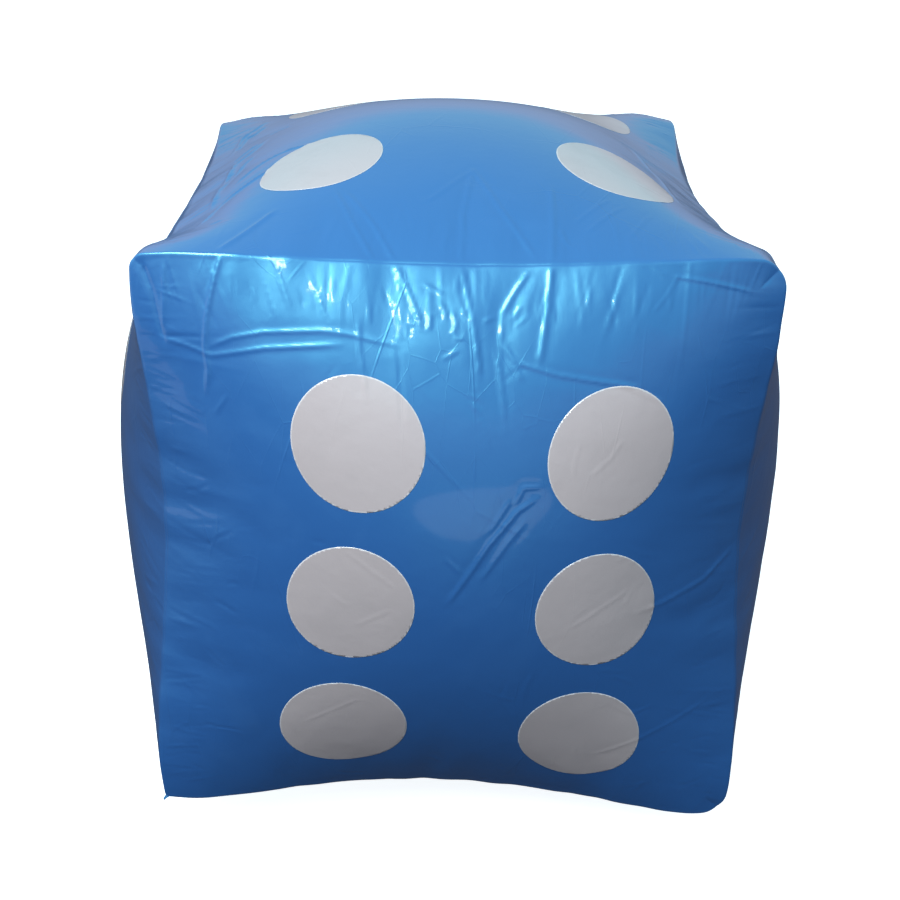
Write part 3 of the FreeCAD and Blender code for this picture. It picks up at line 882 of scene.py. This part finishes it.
def cut_hole(piece, inside):
    """Delete the faces whose corners all lie inside."""
    bpy.ops.object.mode_set(mode="EDIT")
    bpy.ops.mesh.select_mode(type="FACE")
    bpy.ops.mesh.select_all(action="DESELECT")
    bpy.ops.object.mode_set(mode="OBJECT")
    for face in piece.data.polygons:
        face.select = bool(inside[list(face.vertices)].all())
    bpy.ops.object.mode_set(mode="EDIT")
    bpy.ops.mesh.delete(type="FACE")
    bpy.ops.mesh.select_mode(type="VERT")
    bpy.ops.object.mode_set(mode="OBJECT")


def make_film(side):
    """One side's sheet of film."""
    piece, column, row = add_grid(f"{side}_film", FILM_CELLS, FILM_CELLS)
    u, v = (place[column, row] for place in PLACES[side])
    write_points(piece.data, FILM[side][column, row])
    write_film_map(piece.data, u * FLAT_WIDTH / 2, v * FLAT_WIDTH / 2)
    if side == "right":
        cut_hole(piece, np.hypot(u, v) * FILM_FACE < HOLE_RADIUS + 1e-4)
    deselect()
    piece.select_set(True)
    bpy.ops.object.shade_smooth()
    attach(piece, "film_cube")
    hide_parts(f"{side}_panel")
    return piece


films = [make_film(side) for side in SIDES]
print(len(films), "sheets of", len(films[0].data.polygons), "faces")

# %% [markdown]
# ## A tail of weld flash
#
# Where three welds end at the near lower left corner, a thin tail of trimmed film is left. It is
# a small tapered tongue, extruded once from a narrow plane and curled a little.

# %% The tail at the near lower left corner
TAIL_ROOT_WIDTH = 0.006
TAIL_THICK = 0.0007
TAIL_ROWS = (
    # how far out from the corner, share of the root's width, and height
    (-0.0035, 1.0, 0.0),
    (0.0015, 0.72, -0.0016),
    (0.0065, 0.45, -0.0040),
)


def tail_places():
    """The two ends of each row of the tail, from the corner outwards and down."""
    corner = Vector(FILM["front"][0, 0])
    places = []
    for out, width, height in TAIL_ROWS:
        half = TAIL_ROOT_WIDTH / 2 * width
        for side in (-1, 1):
            aside = 0.5 * side * half
            places.append(corner + Vector((-0.7 * out - aside, -0.7 * out + aside, height + side * half)))
    return places


def make_tail():
    """The tail, extruded from a plane and laid along its rows."""
    deselect()
    bpy.ops.mesh.primitive_plane_add(size=1.0)
    tail = bpy.context.object
    tail.name = "weld_tail"
    bpy.ops.object.mode_set(mode="EDIT")
    for _ in range(len(TAIL_ROWS) - 2):
        bpy.ops.mesh.select_all(action="DESELECT")
        bpy.ops.object.mode_set(mode="OBJECT")
        points = read_points(tail.data)
        for vertex in tail.data.vertices:
            vertex.select = bool(vertex.co.y > points[:, 1].max() - 1e-6)
        bpy.ops.object.mode_set(mode="EDIT")
        bpy.ops.mesh.select_mode(type="EDGE")
        bpy.ops.mesh.extrude_region_move(TRANSFORM_OT_translate={"value": (0.0, 1.0, 0.0)})
    bpy.ops.object.mode_set(mode="OBJECT")
    points = read_points(tail.data)
    row = np.rint(points[:, 1] + 0.5).astype(int)
    column = np.rint(points[:, 0] + 0.5).astype(int)
    places = tail_places()
    write_points(tail.data, np.array([places[2 * r + c] for r, c in zip(row, column)]))
    film = tail.modifiers.new("film", "SOLIDIFY")
    film.thickness = TAIL_THICK
    film.offset = 0
    bpy.ops.object.modifier_apply(modifier="film")
    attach(tail, "film_cube")
    return tail


tail = make_tail()
print("tail", [round(size * 1000, 1) for size in tail.dimensions], "mm")

# %% [markdown]
# ## The printed pips
#
# The pips are printed on the flat film before it is welded, so each one follows every crease
# under it. A round patch of the film's own grid is laid out flat, trimmed to a circle with
# bisect, and then put back where the film is, lifted by a hair. While it is flat, an attribute
# carries each vertex's real place, and bisect gives its new vertices their share of it.

# %% Places of the pips
PIP_SIDES = 72             # straight cuts that make a pip's outline
INK_LIFT = 0.0001          # gap between ink and film, so that they don't fight in the render
INK = 0.00025
SIX_COLUMN = 0.176
SIX_ROW = 0.235
SIX_SHIFT = (0.022, -0.035)
SIX_TURN = math.radians(-2.2)
PITCH = 0.215
FIVE_PITCH = 0.190
FIVE_SHIFT = -0.064
CORNERS = [(across, up) for across in (-1, 1) for up in (-1, 1)]
FOUR = [(across * PITCH, up * PITCH) for across, up in CORNERS]
TOP_FOUR = [(-0.195, -0.232), (-0.195, 0.206), (0.235, -0.250), (0.235, 0.204)]
MIDDLE_PIP = (0.0, 0.0)


def turned_six(across, up):
    """A place of the six, which is printed a little askew."""
    return (
        across * math.cos(SIX_TURN) - up * math.sin(SIX_TURN) + SIX_SHIFT[0],
        across * math.sin(SIX_TURN) + up * math.cos(SIX_TURN) + SIX_SHIFT[1],
    )


PIPS = {
    "front": [
        turned_six(across * SIX_COLUMN, up * SIX_ROW) for across in (-1, 1) for up in (-1, 0, 1)
    ],
    "back": [MIDDLE_PIP],
    "left": [
        (across * FIVE_PITCH + FIVE_SHIFT, up * FIVE_PITCH) for across, up in CORNERS + [MIDDLE_PIP]
    ],
    "right": [FOUR[0], FOUR[-1]],
    "top": TOP_FOUR,
    "bottom": [FOUR[0], FOUR[-1], MIDDLE_PIP],
}


def on_film(across, up):
    """u and v of a place that is given straight across and up from a side's middle."""
    u, v = 0.0, 0.0
    for _ in range(20):
        u, v = across / weld_reach(v), up / weld_reach(u)
    return u, v


print("pips on each side", {side: len(pips) for side, pips in PIPS.items()})

# %% Print the pips


def ink_normals(points):
    """Outward directions of the film at every crossing of its grid."""
    normals = np.cross(np.gradient(points, axis=0), np.gradient(points, axis=1))
    return normals / np.linalg.norm(normals, axis=-1, keepdims=True)


def trimmed_round(patch):
    """Cut a flat patch to a circle about the origin, one straight cut at a time."""
    deselect()
    patch.select_set(True)
    bpy.context.view_layer.objects.active = patch
    bpy.ops.object.mode_set(mode="EDIT")
    for index in range(PIP_SIDES):
        angle = 2 * math.pi * index / PIP_SIDES
        way = (math.cos(angle), math.sin(angle), 0.0)
        cut = tuple(PIP_RADIUS * part for part in way)
        bpy.ops.mesh.select_all(action="SELECT")
        bpy.ops.mesh.bisect(plane_co=cut, plane_no=way, clear_outer=True)
    bpy.ops.object.mode_set(mode="OBJECT")


def print_pip(side, lifted, middle):
    """One pip: the film's own grid round its middle, trimmed and put back on the film."""
    u, v = PLACES[side]
    centre_u, centre_v = on_film(*middle)
    lines = grid_lines()
    reach = PIP_RADIUS / FILM_FACE
    first_column, last_column = np.searchsorted(lines, (centre_u - reach, centre_u + reach)) + (-2, 1)
    first_row, last_row = np.searchsorted(lines, (centre_v - reach, centre_v + reach)) + (-2, 1)
    patch, column, row = add_grid("pip", last_column - first_column, last_row - first_row)
    column, row = column + first_column, row + first_row
    across = (u[column, row] - centre_u) * FILM_FACE
    up = (v[column, row] - centre_v) * FILM_FACE
    write_points(patch.data, np.stack([across, up, np.zeros_like(up)], axis=-1))
    write_film_map(patch.data, across, up)
    place = patch.data.attributes.new("place", "FLOAT_VECTOR", "POINT")
    place.data.foreach_set("vector", lifted[column, row].ravel())
    trimmed_round(patch)
    mesh = patch.data
    places = np.empty(len(mesh.vertices) * 3)
    mesh.attributes["place"].data.foreach_get("vector", places)
    flat = read_points(mesh)
    rim = mesh.attributes.new("rim", "FLOAT", "POINT")
    rim.data.foreach_set("value", (PIP_RADIUS - np.hypot(flat[:, 0], flat[:, 1])) / MILLIMETRE)
    write_points(mesh, places.reshape(-1, 3))
    mesh.attributes.remove(mesh.attributes["place"])
    return patch


def print_side(side):
    """All pips of a side, as one piece of ink with a thickness."""
    lifted = FILM[side] + ink_normals(FILM[side]) * (INK_LIFT + INK)
    pips = [print_pip(side, lifted, middle) for middle in PIPS[side]]
    deselect()
    for pip in pips:
        pip.select_set(True)
    bpy.context.view_layer.objects.active = pips[0]
    if len(pips) > 1:
        bpy.ops.object.join()
    ink = bpy.context.object
    ink.name = f"{side}_ink"
    thickness = ink.modifiers.new("thickness", "SOLIDIFY")
    thickness.thickness = INK
    thickness.offset = -1
    bpy.ops.object.modifier_apply(modifier="thickness")
    bpy.ops.object.shade_smooth()
    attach(ink, "film_cube")
    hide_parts(f"{side}_pips" if len(pips) > 1 else f"{side}_pip")
    return ink


inks = [print_side(side) for side in SIDES]
print(len(inks), "printed sides with", sum(len(ink.data.polygons) for ink in inks), "faces")

# %% [markdown]
# ## The valve's soft pieces
#
# The valve is a push-in moulding of clear vinyl. Its stem, flange, plug and flap keep their
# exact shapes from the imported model. Two parts of it are soft and bend when it is pulled out:
# the cone between flange and stem, and the strap that keeps the plug. The cone is an outline
# spun round the valve's axis, so that its wall has rounded folds at both ends.

# %% The cone between flange and stem
CONE_WALL = 0.0008
CONE_LINE = (
    # depth below the film and radius, from the flange to the stem
    (0.00135, 0.0166), (0.0017, 0.0162), (0.0030, 0.0154), (0.0055, 0.0136),
    (0.0080, 0.0116), (0.0100, 0.0098), (0.0114, 0.0086), (0.0122, 0.0079), (0.0128, 0.0076),
)
CONE_STEPS = 64


def valve_point(depth, across, up):
    """A place given by its depth below the film and its distance from the valve's axis."""
    return (VALVE_LEVEL - depth, across, MIDDLE.z + up)


def make_cone():
    """The soft cone, spun from its outline."""
    deselect()
    bpy.ops.mesh.primitive_plane_add(size=1.0)
    cone = bpy.context.object
    cone.name = "valve_cone"
    bpy.ops.object.mode_set(mode="EDIT")
    bpy.ops.mesh.delete(type="VERT")
    bpy.ops.object.mode_set(mode="OBJECT")
    corners = [valve_point(depth, 0.0, radius) for depth, radius in CONE_LINE]
    edges = [(index, index + 1) for index in range(len(corners) - 1)]
    cone.data.from_pydata(corners, edges, [])
    bpy.ops.object.mode_set(mode="EDIT")
    bpy.ops.mesh.select_all(action="SELECT")
    bpy.ops.mesh.spin(
        steps=CONE_STEPS, angle=2 * math.pi, center=valve_point(0.0, 0.0, 0.0), axis=(1.0, 0.0, 0.0)
    )
    bpy.ops.mesh.select_all(action="SELECT")
    bpy.ops.mesh.remove_doubles(threshold=0.00002)
    bpy.ops.mesh.normals_make_consistent(inside=False)
    bpy.ops.object.mode_set(mode="OBJECT")
    wall = cone.modifiers.new("wall", "SOLIDIFY")
    wall.thickness = CONE_WALL
    wall.offset = 0
    bpy.ops.object.modifier_apply(modifier="wall")
    bpy.ops.object.shade_smooth()
    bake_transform(cone)
    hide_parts("valve_skirt")
    return cone


cone = make_cone()
print("cone", [round(size * 1000, 1) for size in cone.dimensions], "mm")

# %% [markdown]
# ## The strap
#
# The strap is a flat band moulded with the plug. It comes out of the plug's edge, turns round
# below it and goes back into the stem. A narrow rectangle is swept along that line and rounded.

# %% The strap that keeps the plug
STRAP_WIDTH = 0.005
STRAP_THICK = 0.0009
STRAP_UPPER = 0.0013       # depth of the strap's upper leg, at the plug
STRAP_BEND = 0.002
STRAP_REACH = 0.0099
BEND_STEPS = 10
UPPER_LEG = (0.0076, 0.0084, 0.0092)   # distances from the valve's axis
LOWER_LEG = (0.0088, 0.0074, 0.0058)


def strap_line():
    """Depth and height of the middle of the strap, from the plug to the stem."""
    line = [(STRAP_UPPER, -height) for height in UPPER_LEG]
    for step in range(BEND_STEPS + 1):
        angle = math.pi * step / BEND_STEPS
        depth = STRAP_UPPER + STRAP_BEND * (1 - math.cos(angle))
        line.append((depth, -STRAP_REACH - STRAP_BEND * math.sin(angle)))
    depth = STRAP_UPPER + 2 * STRAP_BEND
    line += [(depth, -height) for height in LOWER_LEG]
    return line


def make_strap():
    """The strap as a band of quads, given a thickness and rounded edges."""
    deselect()
    line = strap_line()
    bpy.ops.mesh.primitive_grid_add(x_subdivisions=4, y_subdivisions=len(line) - 1, size=2.0)
    strap = bpy.context.object
    strap.name = "plug_strap"
    points = read_points(strap.data)
    rows = np.rint((points[:, 1] + 1) / 2 * (len(line) - 1)).astype(int)
    placed = [
        valve_point(line[row][0], across * STRAP_WIDTH / 2, line[row][1])
        for row, across in zip(rows, points[:, 0])
    ]
    write_points(strap.data, np.array(placed))
    band = strap.modifiers.new("band", "SOLIDIFY")
    band.thickness = STRAP_THICK
    band.offset = 0
    edge = strap.modifiers.new("edge", "BEVEL")
    edge.width = 0.00025
    edge.segments = 2
    edge.angle_limit = math.radians(50)
    for name in ("band", "edge"):
        bpy.ops.object.modifier_apply(modifier=name)
    bpy.ops.object.shade_smooth()
    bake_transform(strap)
    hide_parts("valve_strap")
    return strap


strap = make_strap()
print("strap", [round(size * 1000, 1) for size in strap.dimensions], "mm")

# %% [markdown]
# ## Finishes
#
# The film is calendered vinyl: smooth and glossy, never quite even. Three node groups are shared.
# Two give heights: the film's slow waves and fine ripple, and the thin lines it was packed with.
# The third gives faint smudges that dull the gloss. All read Object coordinates.

# %% Group: unevenness of vinyl


def new_group(name, output, **inputs):
    """A shader group with named number sockets, its two end nodes and the Object coordinates."""
    tree = bpy.data.node_groups.new(name, "ShaderNodeTree")
    for label, value in inputs.items():
        label = label.replace("_", " ")
        socket = tree.interface.new_socket(label, in_out="INPUT", socket_type="NodeSocketFloat")
        socket.default_value = value
    tree.interface.new_socket(output, in_out="OUTPUT", socket_type="NodeSocketFloat")
    place = tree.nodes.new("ShaderNodeTexCoord").outputs["Object"]
    given, result = (tree.nodes.new(kind) for kind in ("NodeGroupInput", "NodeGroupOutput"))
    return tree, given.outputs, result.inputs[output], place


def ranged(tree, value, low, high, start=0.0, end=1.0, smooth=False):
    """A socket's run from start to end laid out from low to high."""
    made = tree.nodes.new("ShaderNodeMapRange")
    if smooth:
        made.interpolation_type = "SMOOTHSTEP"
    for label, number in (("From Min", start), ("From Max", end), ("To Min", low), ("To Max", high)):
        made.inputs[label].default_value = number
    tree.links.new(value, made.inputs["Value"])
    return made.outputs["Result"]


def add_node(tree, kind, **settings):
    """A node with its settings, and with the values of its input sockets by name."""
    made = tree.nodes.new(kind)
    for key, value in settings.items():
        if hasattr(made, key):
            setattr(made, key, value)
        else:
            made.inputs[key.replace("_", " ")].default_value = value
    return made


def math_node(tree, operation, first, second):
    """A Math node whose two inputs are sockets or numbers."""
    made = tree.nodes.new("ShaderNodeMath")
    made.operation = operation
    for socket, value in zip(made.inputs, (first, second)):
        if isinstance(value, (int, float)):
            socket.default_value = value
        else:
            tree.links.new(value, socket)
    return made.outputs[0]


def make_unevenness():
    """Height of the film's slow waves and of its fine ripple."""
    tree, given, height, place = new_group("vinyl unevenness", "Height", Waves=1.0, Ripple=1.0)
    slow = add_node(tree, "ShaderNodeTexNoise", Scale=9.0, Detail=2.0, Roughness=0.45)
    fine = add_node(tree, "ShaderNodeTexNoise", Scale=70.0, Detail=3.0, Roughness=0.5)
    for noise in (slow, fine):
        tree.links.new(place, noise.inputs["Vector"])
    waves = math_node(tree, "MULTIPLY", slow.outputs[0], given["Waves"])
    ripple = math_node(tree, "MULTIPLY", fine.outputs[0], given["Ripple"])
    tree.links.new(math_node(tree, "ADD", waves, ripple), height)
    return tree


UNEVENNESS = make_unevenness()
print("group", UNEVENNESS.name)

# %% Group: packing creases
UPRIGHT_STRETCH = (1.0, 1.0, 0.32)     # the cells are about three times as tall as they are wide
LINE_WIDTH = 0.018
LINE_GAPS = (0.50, 0.62)               # noise below the first leaves a line out


def make_packing_creases():
    """Thin straight lines that meet at points, broken up, as a height above the film."""
    tree, given, height, place = new_group("packing creases", "Height", Cell_Scale=9.0, Amount=1.0)
    upright = add_node(tree, "ShaderNodeMapping", Scale=UPRIGHT_STRETCH)
    tree.links.new(place, upright.inputs["Vector"])
    cells = add_node(tree, "ShaderNodeTexVoronoi", feature="DISTANCE_TO_EDGE", Randomness=1.0)
    tree.links.new(upright.outputs["Vector"], cells.inputs["Vector"])
    tree.links.new(given["Cell Scale"], cells.inputs["Scale"])
    line = ranged(tree, cells.outputs["Distance"], 1.0, 0.0, end=LINE_WIDTH, smooth=True)
    gaps = add_node(tree, "ShaderNodeTexNoise", Scale=5.0, Detail=3.0, Roughness=0.6)
    tree.links.new(place, gaps.inputs["Vector"])
    shown = ranged(tree, gaps.outputs[0], 0.0, 1.0, *LINE_GAPS)
    broken = math_node(tree, "MULTIPLY", line, shown)
    tree.links.new(math_node(tree, "MULTIPLY", broken, given["Amount"]), height)
    return tree


PACKING_CREASES = make_packing_creases()
print("group", PACKING_CREASES.name)

# %% Group: smudges


def make_smudges():
    """A mask of faint dull patches and short wipes."""
    tree, given, mask, place = new_group("handling smudges", "Mask", Size=1.0, Cover=0.5)
    patches = add_node(tree, "ShaderNodeTexNoise", Detail=5.0, Roughness=0.6, Distortion=0.6)
    tree.links.new(place, patches.inputs["Vector"])
    tree.links.new(math_node(tree, "MULTIPLY", given["Size"], 7.0), patches.inputs["Scale"])
    limit = math_node(tree, "SUBTRACT", 1.0, given["Cover"])
    over = math_node(tree, "SUBTRACT", patches.outputs[0], limit)
    clamp = tree.nodes.new("ShaderNodeClamp")
    tree.links.new(math_node(tree, "MULTIPLY", over, 3.5), clamp.inputs[0])
    tree.links.new(clamp.outputs[0], mask)
    return tree


SMUDGES = make_smudges()
print("group", SMUDGES.name)

# %% How a finish is put together


def new_finish(name, **values):
    """A material with its Principled shader, and the shader's own values."""
    material = bpy.data.materials.new(name)
    material.use_nodes = True
    shader = material.node_tree.nodes["Principled BSDF"]
    for key, value in values.items():
        shader.inputs[key.replace("_", " ")].default_value = value
    return material, material.node_tree, shader


def placed_group(tree, group, **values):
    """A shared group with this finish's own values."""
    made = tree.nodes.new("ShaderNodeGroup")
    made.node_tree = group
    for key, value in values.items():
        made.inputs[key.replace("_", " ")].default_value = value
    return made.outputs[0]


def bump_from(tree, shader, height, strength, distance):
    """Feed a height to the shader's normal."""
    bump = add_node(tree, "ShaderNodeBump", Strength=strength, Distance=distance)
    tree.links.new(height, bump.inputs["Height"])
    tree.links.new(bump.outputs["Normal"], shader.inputs["Normal"])


def mixed(tree, factor, first, second):
    """A colour between two, by a socket. The first may be a socket too."""
    mix = tree.nodes.new("ShaderNodeMix")
    mix.data_type = "RGBA"
    if isinstance(first, tuple):
        mix.inputs["A"].default_value = (*first, 1.0)
    else:
        tree.links.new(first, mix.inputs["A"])
    mix.inputs["B"].default_value = (*second, 1.0)
    tree.links.new(factor, mix.inputs["Factor"])
    return mix.outputs["Result"]


# %% The blue film


def blue_film():
    """Glossy blue vinyl, a little uneven, a little smudged."""
    material, tree, shader = new_finish(
        "glossy blue vinyl film",
        IOR=2.20,
        Specular_Tint=(0.25, 0.90, 1.0, 1.0),
        Coat_Weight=0.55,
        Coat_Roughness=0.07,
        Coat_IOR=1.50,
    )
    uneven = placed_group(tree, UNEVENNESS, Waves=1.0, Ripple=0.12)
    smudge = placed_group(tree, SMUDGES, Size=1.0, Cover=0.45)
    colour = mixed(tree, smudge, (0.0185, 0.086, 0.290), (0.0235, 0.094, 0.305))
    tree.links.new(colour, shader.inputs["Base Color"])
    tree.links.new(ranged(tree, smudge, 0.38, 0.46), shader.inputs["Roughness"])
    large = placed_group(tree, PACKING_CREASES, Cell_Scale=9.0, Amount=0.16)
    small = placed_group(tree, PACKING_CREASES, Cell_Scale=26.0, Amount=0.06)
    height = math_node(tree, "ADD", uneven, math_node(tree, "ADD", large, small))
    bump_from(tree, shader, height, 0.5, 0.004)
    return material


BLUE_FILM = blue_film()

# %% The ink of the pips
PALE_RIM = (1.0, 2.0)      # millimetres from the edge between which the paler line fades


def pale_ink():
    """Screen-printed ink: off-white, semi-gloss, with a thin paler line round its edge."""
    material, tree, shader = new_finish(
        "off-white printed ink", IOR=1.80, Coat_Weight=0.6, Coat_Roughness=0.12
    )
    uneven = placed_group(tree, UNEVENNESS, Waves=1.0, Ripple=0.16)
    smudge = placed_group(tree, SMUDGES, Size=2.2, Cover=0.5)
    rim = add_node(tree, "ShaderNodeAttribute", attribute_name="rim")
    edge = ranged(tree, rim.outputs["Fac"], 1.0, 0.0, *PALE_RIM)
    face = mixed(tree, smudge, (0.415, 0.357, 0.355), (0.390, 0.336, 0.334))
    tree.links.new(mixed(tree, edge, face, (0.52, 0.50, 0.50)), shader.inputs["Base Color"])
    tree.links.new(ranged(tree, smudge, 0.36, 0.46), shader.inputs["Roughness"])
    lines = placed_group(tree, PACKING_CREASES, Cell_Scale=13.0, Amount=0.05)
    bump_from(tree, shader, math_node(tree, "ADD", uneven, lines), 0.6, 0.004)
    return material


PALE_INK = pale_ink()

# %% The valve's clear vinyl


def clear_vinyl(name, colour, clearness, roughness):
    """Soft clear moulded vinyl, tinted and slightly clouded."""
    material, tree, shader = new_finish(name, Transmission_Weight=clearness, IOR=1.52)
    uneven = placed_group(tree, UNEVENNESS, Waves=0.6, Ripple=0.5)
    smudge = placed_group(tree, SMUDGES, Size=14.0, Cover=0.5)
    cloudy = tuple(0.9 * part for part in colour)
    tree.links.new(mixed(tree, smudge, colour, cloudy), shader.inputs["Base Color"])
    tree.links.new(ranged(tree, smudge, roughness, roughness + 0.14), shader.inputs["Roughness"])
    bump_from(tree, shader, uneven, 0.2, 0.0004)
    return material


CLEAR_VINYL = clear_vinyl("clear moulded vinyl", (0.62, 0.76, 0.88), 0.45, 0.16)
FLAP_VINYL = clear_vinyl("thin milky vinyl", (0.80, 0.85, 0.88), 0.25, 0.32)

# %% Dress the pieces


def dress(piece, material):
    """Give a piece one finish."""
    piece.data.materials.clear()
    piece.data.materials.append(material)


for piece in [*films, tail]:
    dress(piece, BLUE_FILM)
for piece in inks:
    dress(piece, PALE_INK)
for piece in (cone, strap):
    dress(piece, CLEAR_VINYL)
for name in ("valve_flange", "valve_stem", "valve_plug"):
    dress(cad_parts[name], CLEAR_VINYL)
dress(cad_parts["check_flap"], FLAP_VINYL)
print("finishes", sorted(material.name for material in bpy.data.materials if material.users))

# %% [markdown]
# ## Light
#
# A glossy film shows what surrounds it more than it shows its own colour. The surroundings here
# are a plain studio: pale blue above, lilac at the horizon, dark below. A soft lamp at the upper
# left of the camera gives the row of glints along the front's upper folds.

# %% Surroundings
SKY = (
    # from straight below at 0 to straight above at 1
    (0.00, (0.05, 0.05, 0.06)),
    (0.42, (0.09, 0.09, 0.11)),
    (0.50, (0.40, 0.39, 0.46)),
    (0.575, (0.62, 0.60, 0.70)),
    (0.64, (0.42, 0.78, 0.92)),
    (1.00, (0.54, 0.74, 0.86)),
)


def make_surroundings():
    """White where the camera looks past the die, and a soft gradient where the film looks."""
    world = bpy.data.worlds.new("studio")
    bpy.context.scene.world = world
    world.use_nodes = True
    tree = world.node_tree
    tree.nodes.clear()
    out = tree.nodes.new("ShaderNodeOutputWorld")
    seen = add_node(tree, "ShaderNodeBackground", Color=(1.0, 1.0, 1.0, 1.0), Strength=1.0)
    around = add_node(tree, "ShaderNodeBackground", Strength=1.0)
    way = tree.nodes.new("ShaderNodeTexCoord")
    split = tree.nodes.new("ShaderNodeSeparateXYZ")
    tree.links.new(way.outputs["Generated"], split.inputs[0])
    ramp = tree.nodes.new("ShaderNodeValToRGB")
    tree.links.new(ranged(tree, split.outputs["Z"], 0.0, 1.0, start=-1.0), ramp.inputs["Fac"])
    for index, (position, colour) in enumerate(SKY):
        stop = ramp.color_ramp.elements[index] if index < 2 else ramp.color_ramp.elements.new(position)
        stop.position = position
        stop.color = (*colour, 1.0)
    tree.links.new(ramp.outputs["Color"], around.inputs["Color"])
    path = tree.nodes.new("ShaderNodeLightPath")
    mix = tree.nodes.new("ShaderNodeMixShader")
    tree.links.new(path.outputs["Is Camera Ray"], mix.inputs["Fac"])
    tree.links.new(around.outputs[0], mix.inputs[1])
    tree.links.new(seen.outputs[0], mix.inputs[2])
    tree.links.new(mix.outputs[0], out.inputs["Surface"])
    return world


world = make_surroundings()
print("surroundings", world.name)

# %% Lamps


def soft_lamp(name, place, aim, size, power, colour=(1.0, 1.0, 1.0)):
    """A soft lamp at a place, turned towards another."""
    deselect()
    turn = (Vector(aim) - Vector(place)).to_track_quat("-Z", "Y").to_euler()
    bpy.ops.object.light_add(type="AREA", location=place, rotation=turn)
    lamp = bpy.context.object
    lamp.name = name
    lamp.data.shape = "RECTANGLE"
    lamp.data.size, lamp.data.size_y = size
    lamp.data.energy = power
    lamp.data.color = colour
    return lamp


soft_lamp("key", (-0.95, -1.8, 2.45), (-0.1, -0.4, 0.7), (1.2, 1.0), 74, (0.92, 0.97, 1.0))
soft_lamp("glints", (-0.4, -2.9, 2.6), (0.0, -0.3, 0.8), (0.22, 0.16), 5)
window = soft_lamp("window", (0.32, -2.9, 0.08), (0.0, 0.0, 0.55), (1.3, 0.6), 2.0)
window.data.shape = "ELLIPSE"
wall = soft_lamp("wall", (-2.6, -0.9, 0.5), (0.0, -0.2, 0.5), (2.4, 1.6), 9, (1.0, 0.86, 0.92))
wall.visible_diffuse = False
print("lamps", [lamp.name for lamp in bpy.data.lights])

# %% [markdown]
# ## The floor
#
# The floor is plain and pale. The film doesn't mirror it, because the real die lay over
# something dark, and its lower sides are the darkest.

# %% Floor
FLOOR_RADIUS = 14.0


def make_floor():
    """A pale floor, larger than any view of it."""
    deselect()
    bpy.ops.mesh.primitive_circle_add(vertices=96, radius=FLOOR_RADIUS, fill_type="NGON")
    floor = bpy.context.object
    floor.name = "floor"
    material, _, _ = new_finish(
        "pale floor",
        Base_Color=(0.86, 0.86, 0.87, 1.0),
        Roughness=0.9,
        Emission_Color=(1.0, 1.0, 1.0, 1.0),
        Emission_Strength=0.85,
    )
    dress(floor, material)
    floor.visible_glossy = False
    floor.visible_diffuse = False
    return floor


floor = make_floor()
bpy.context.scene.view_settings.view_transform = "Standard"
print("floor", round(floor.dimensions.x, 1), "m across")
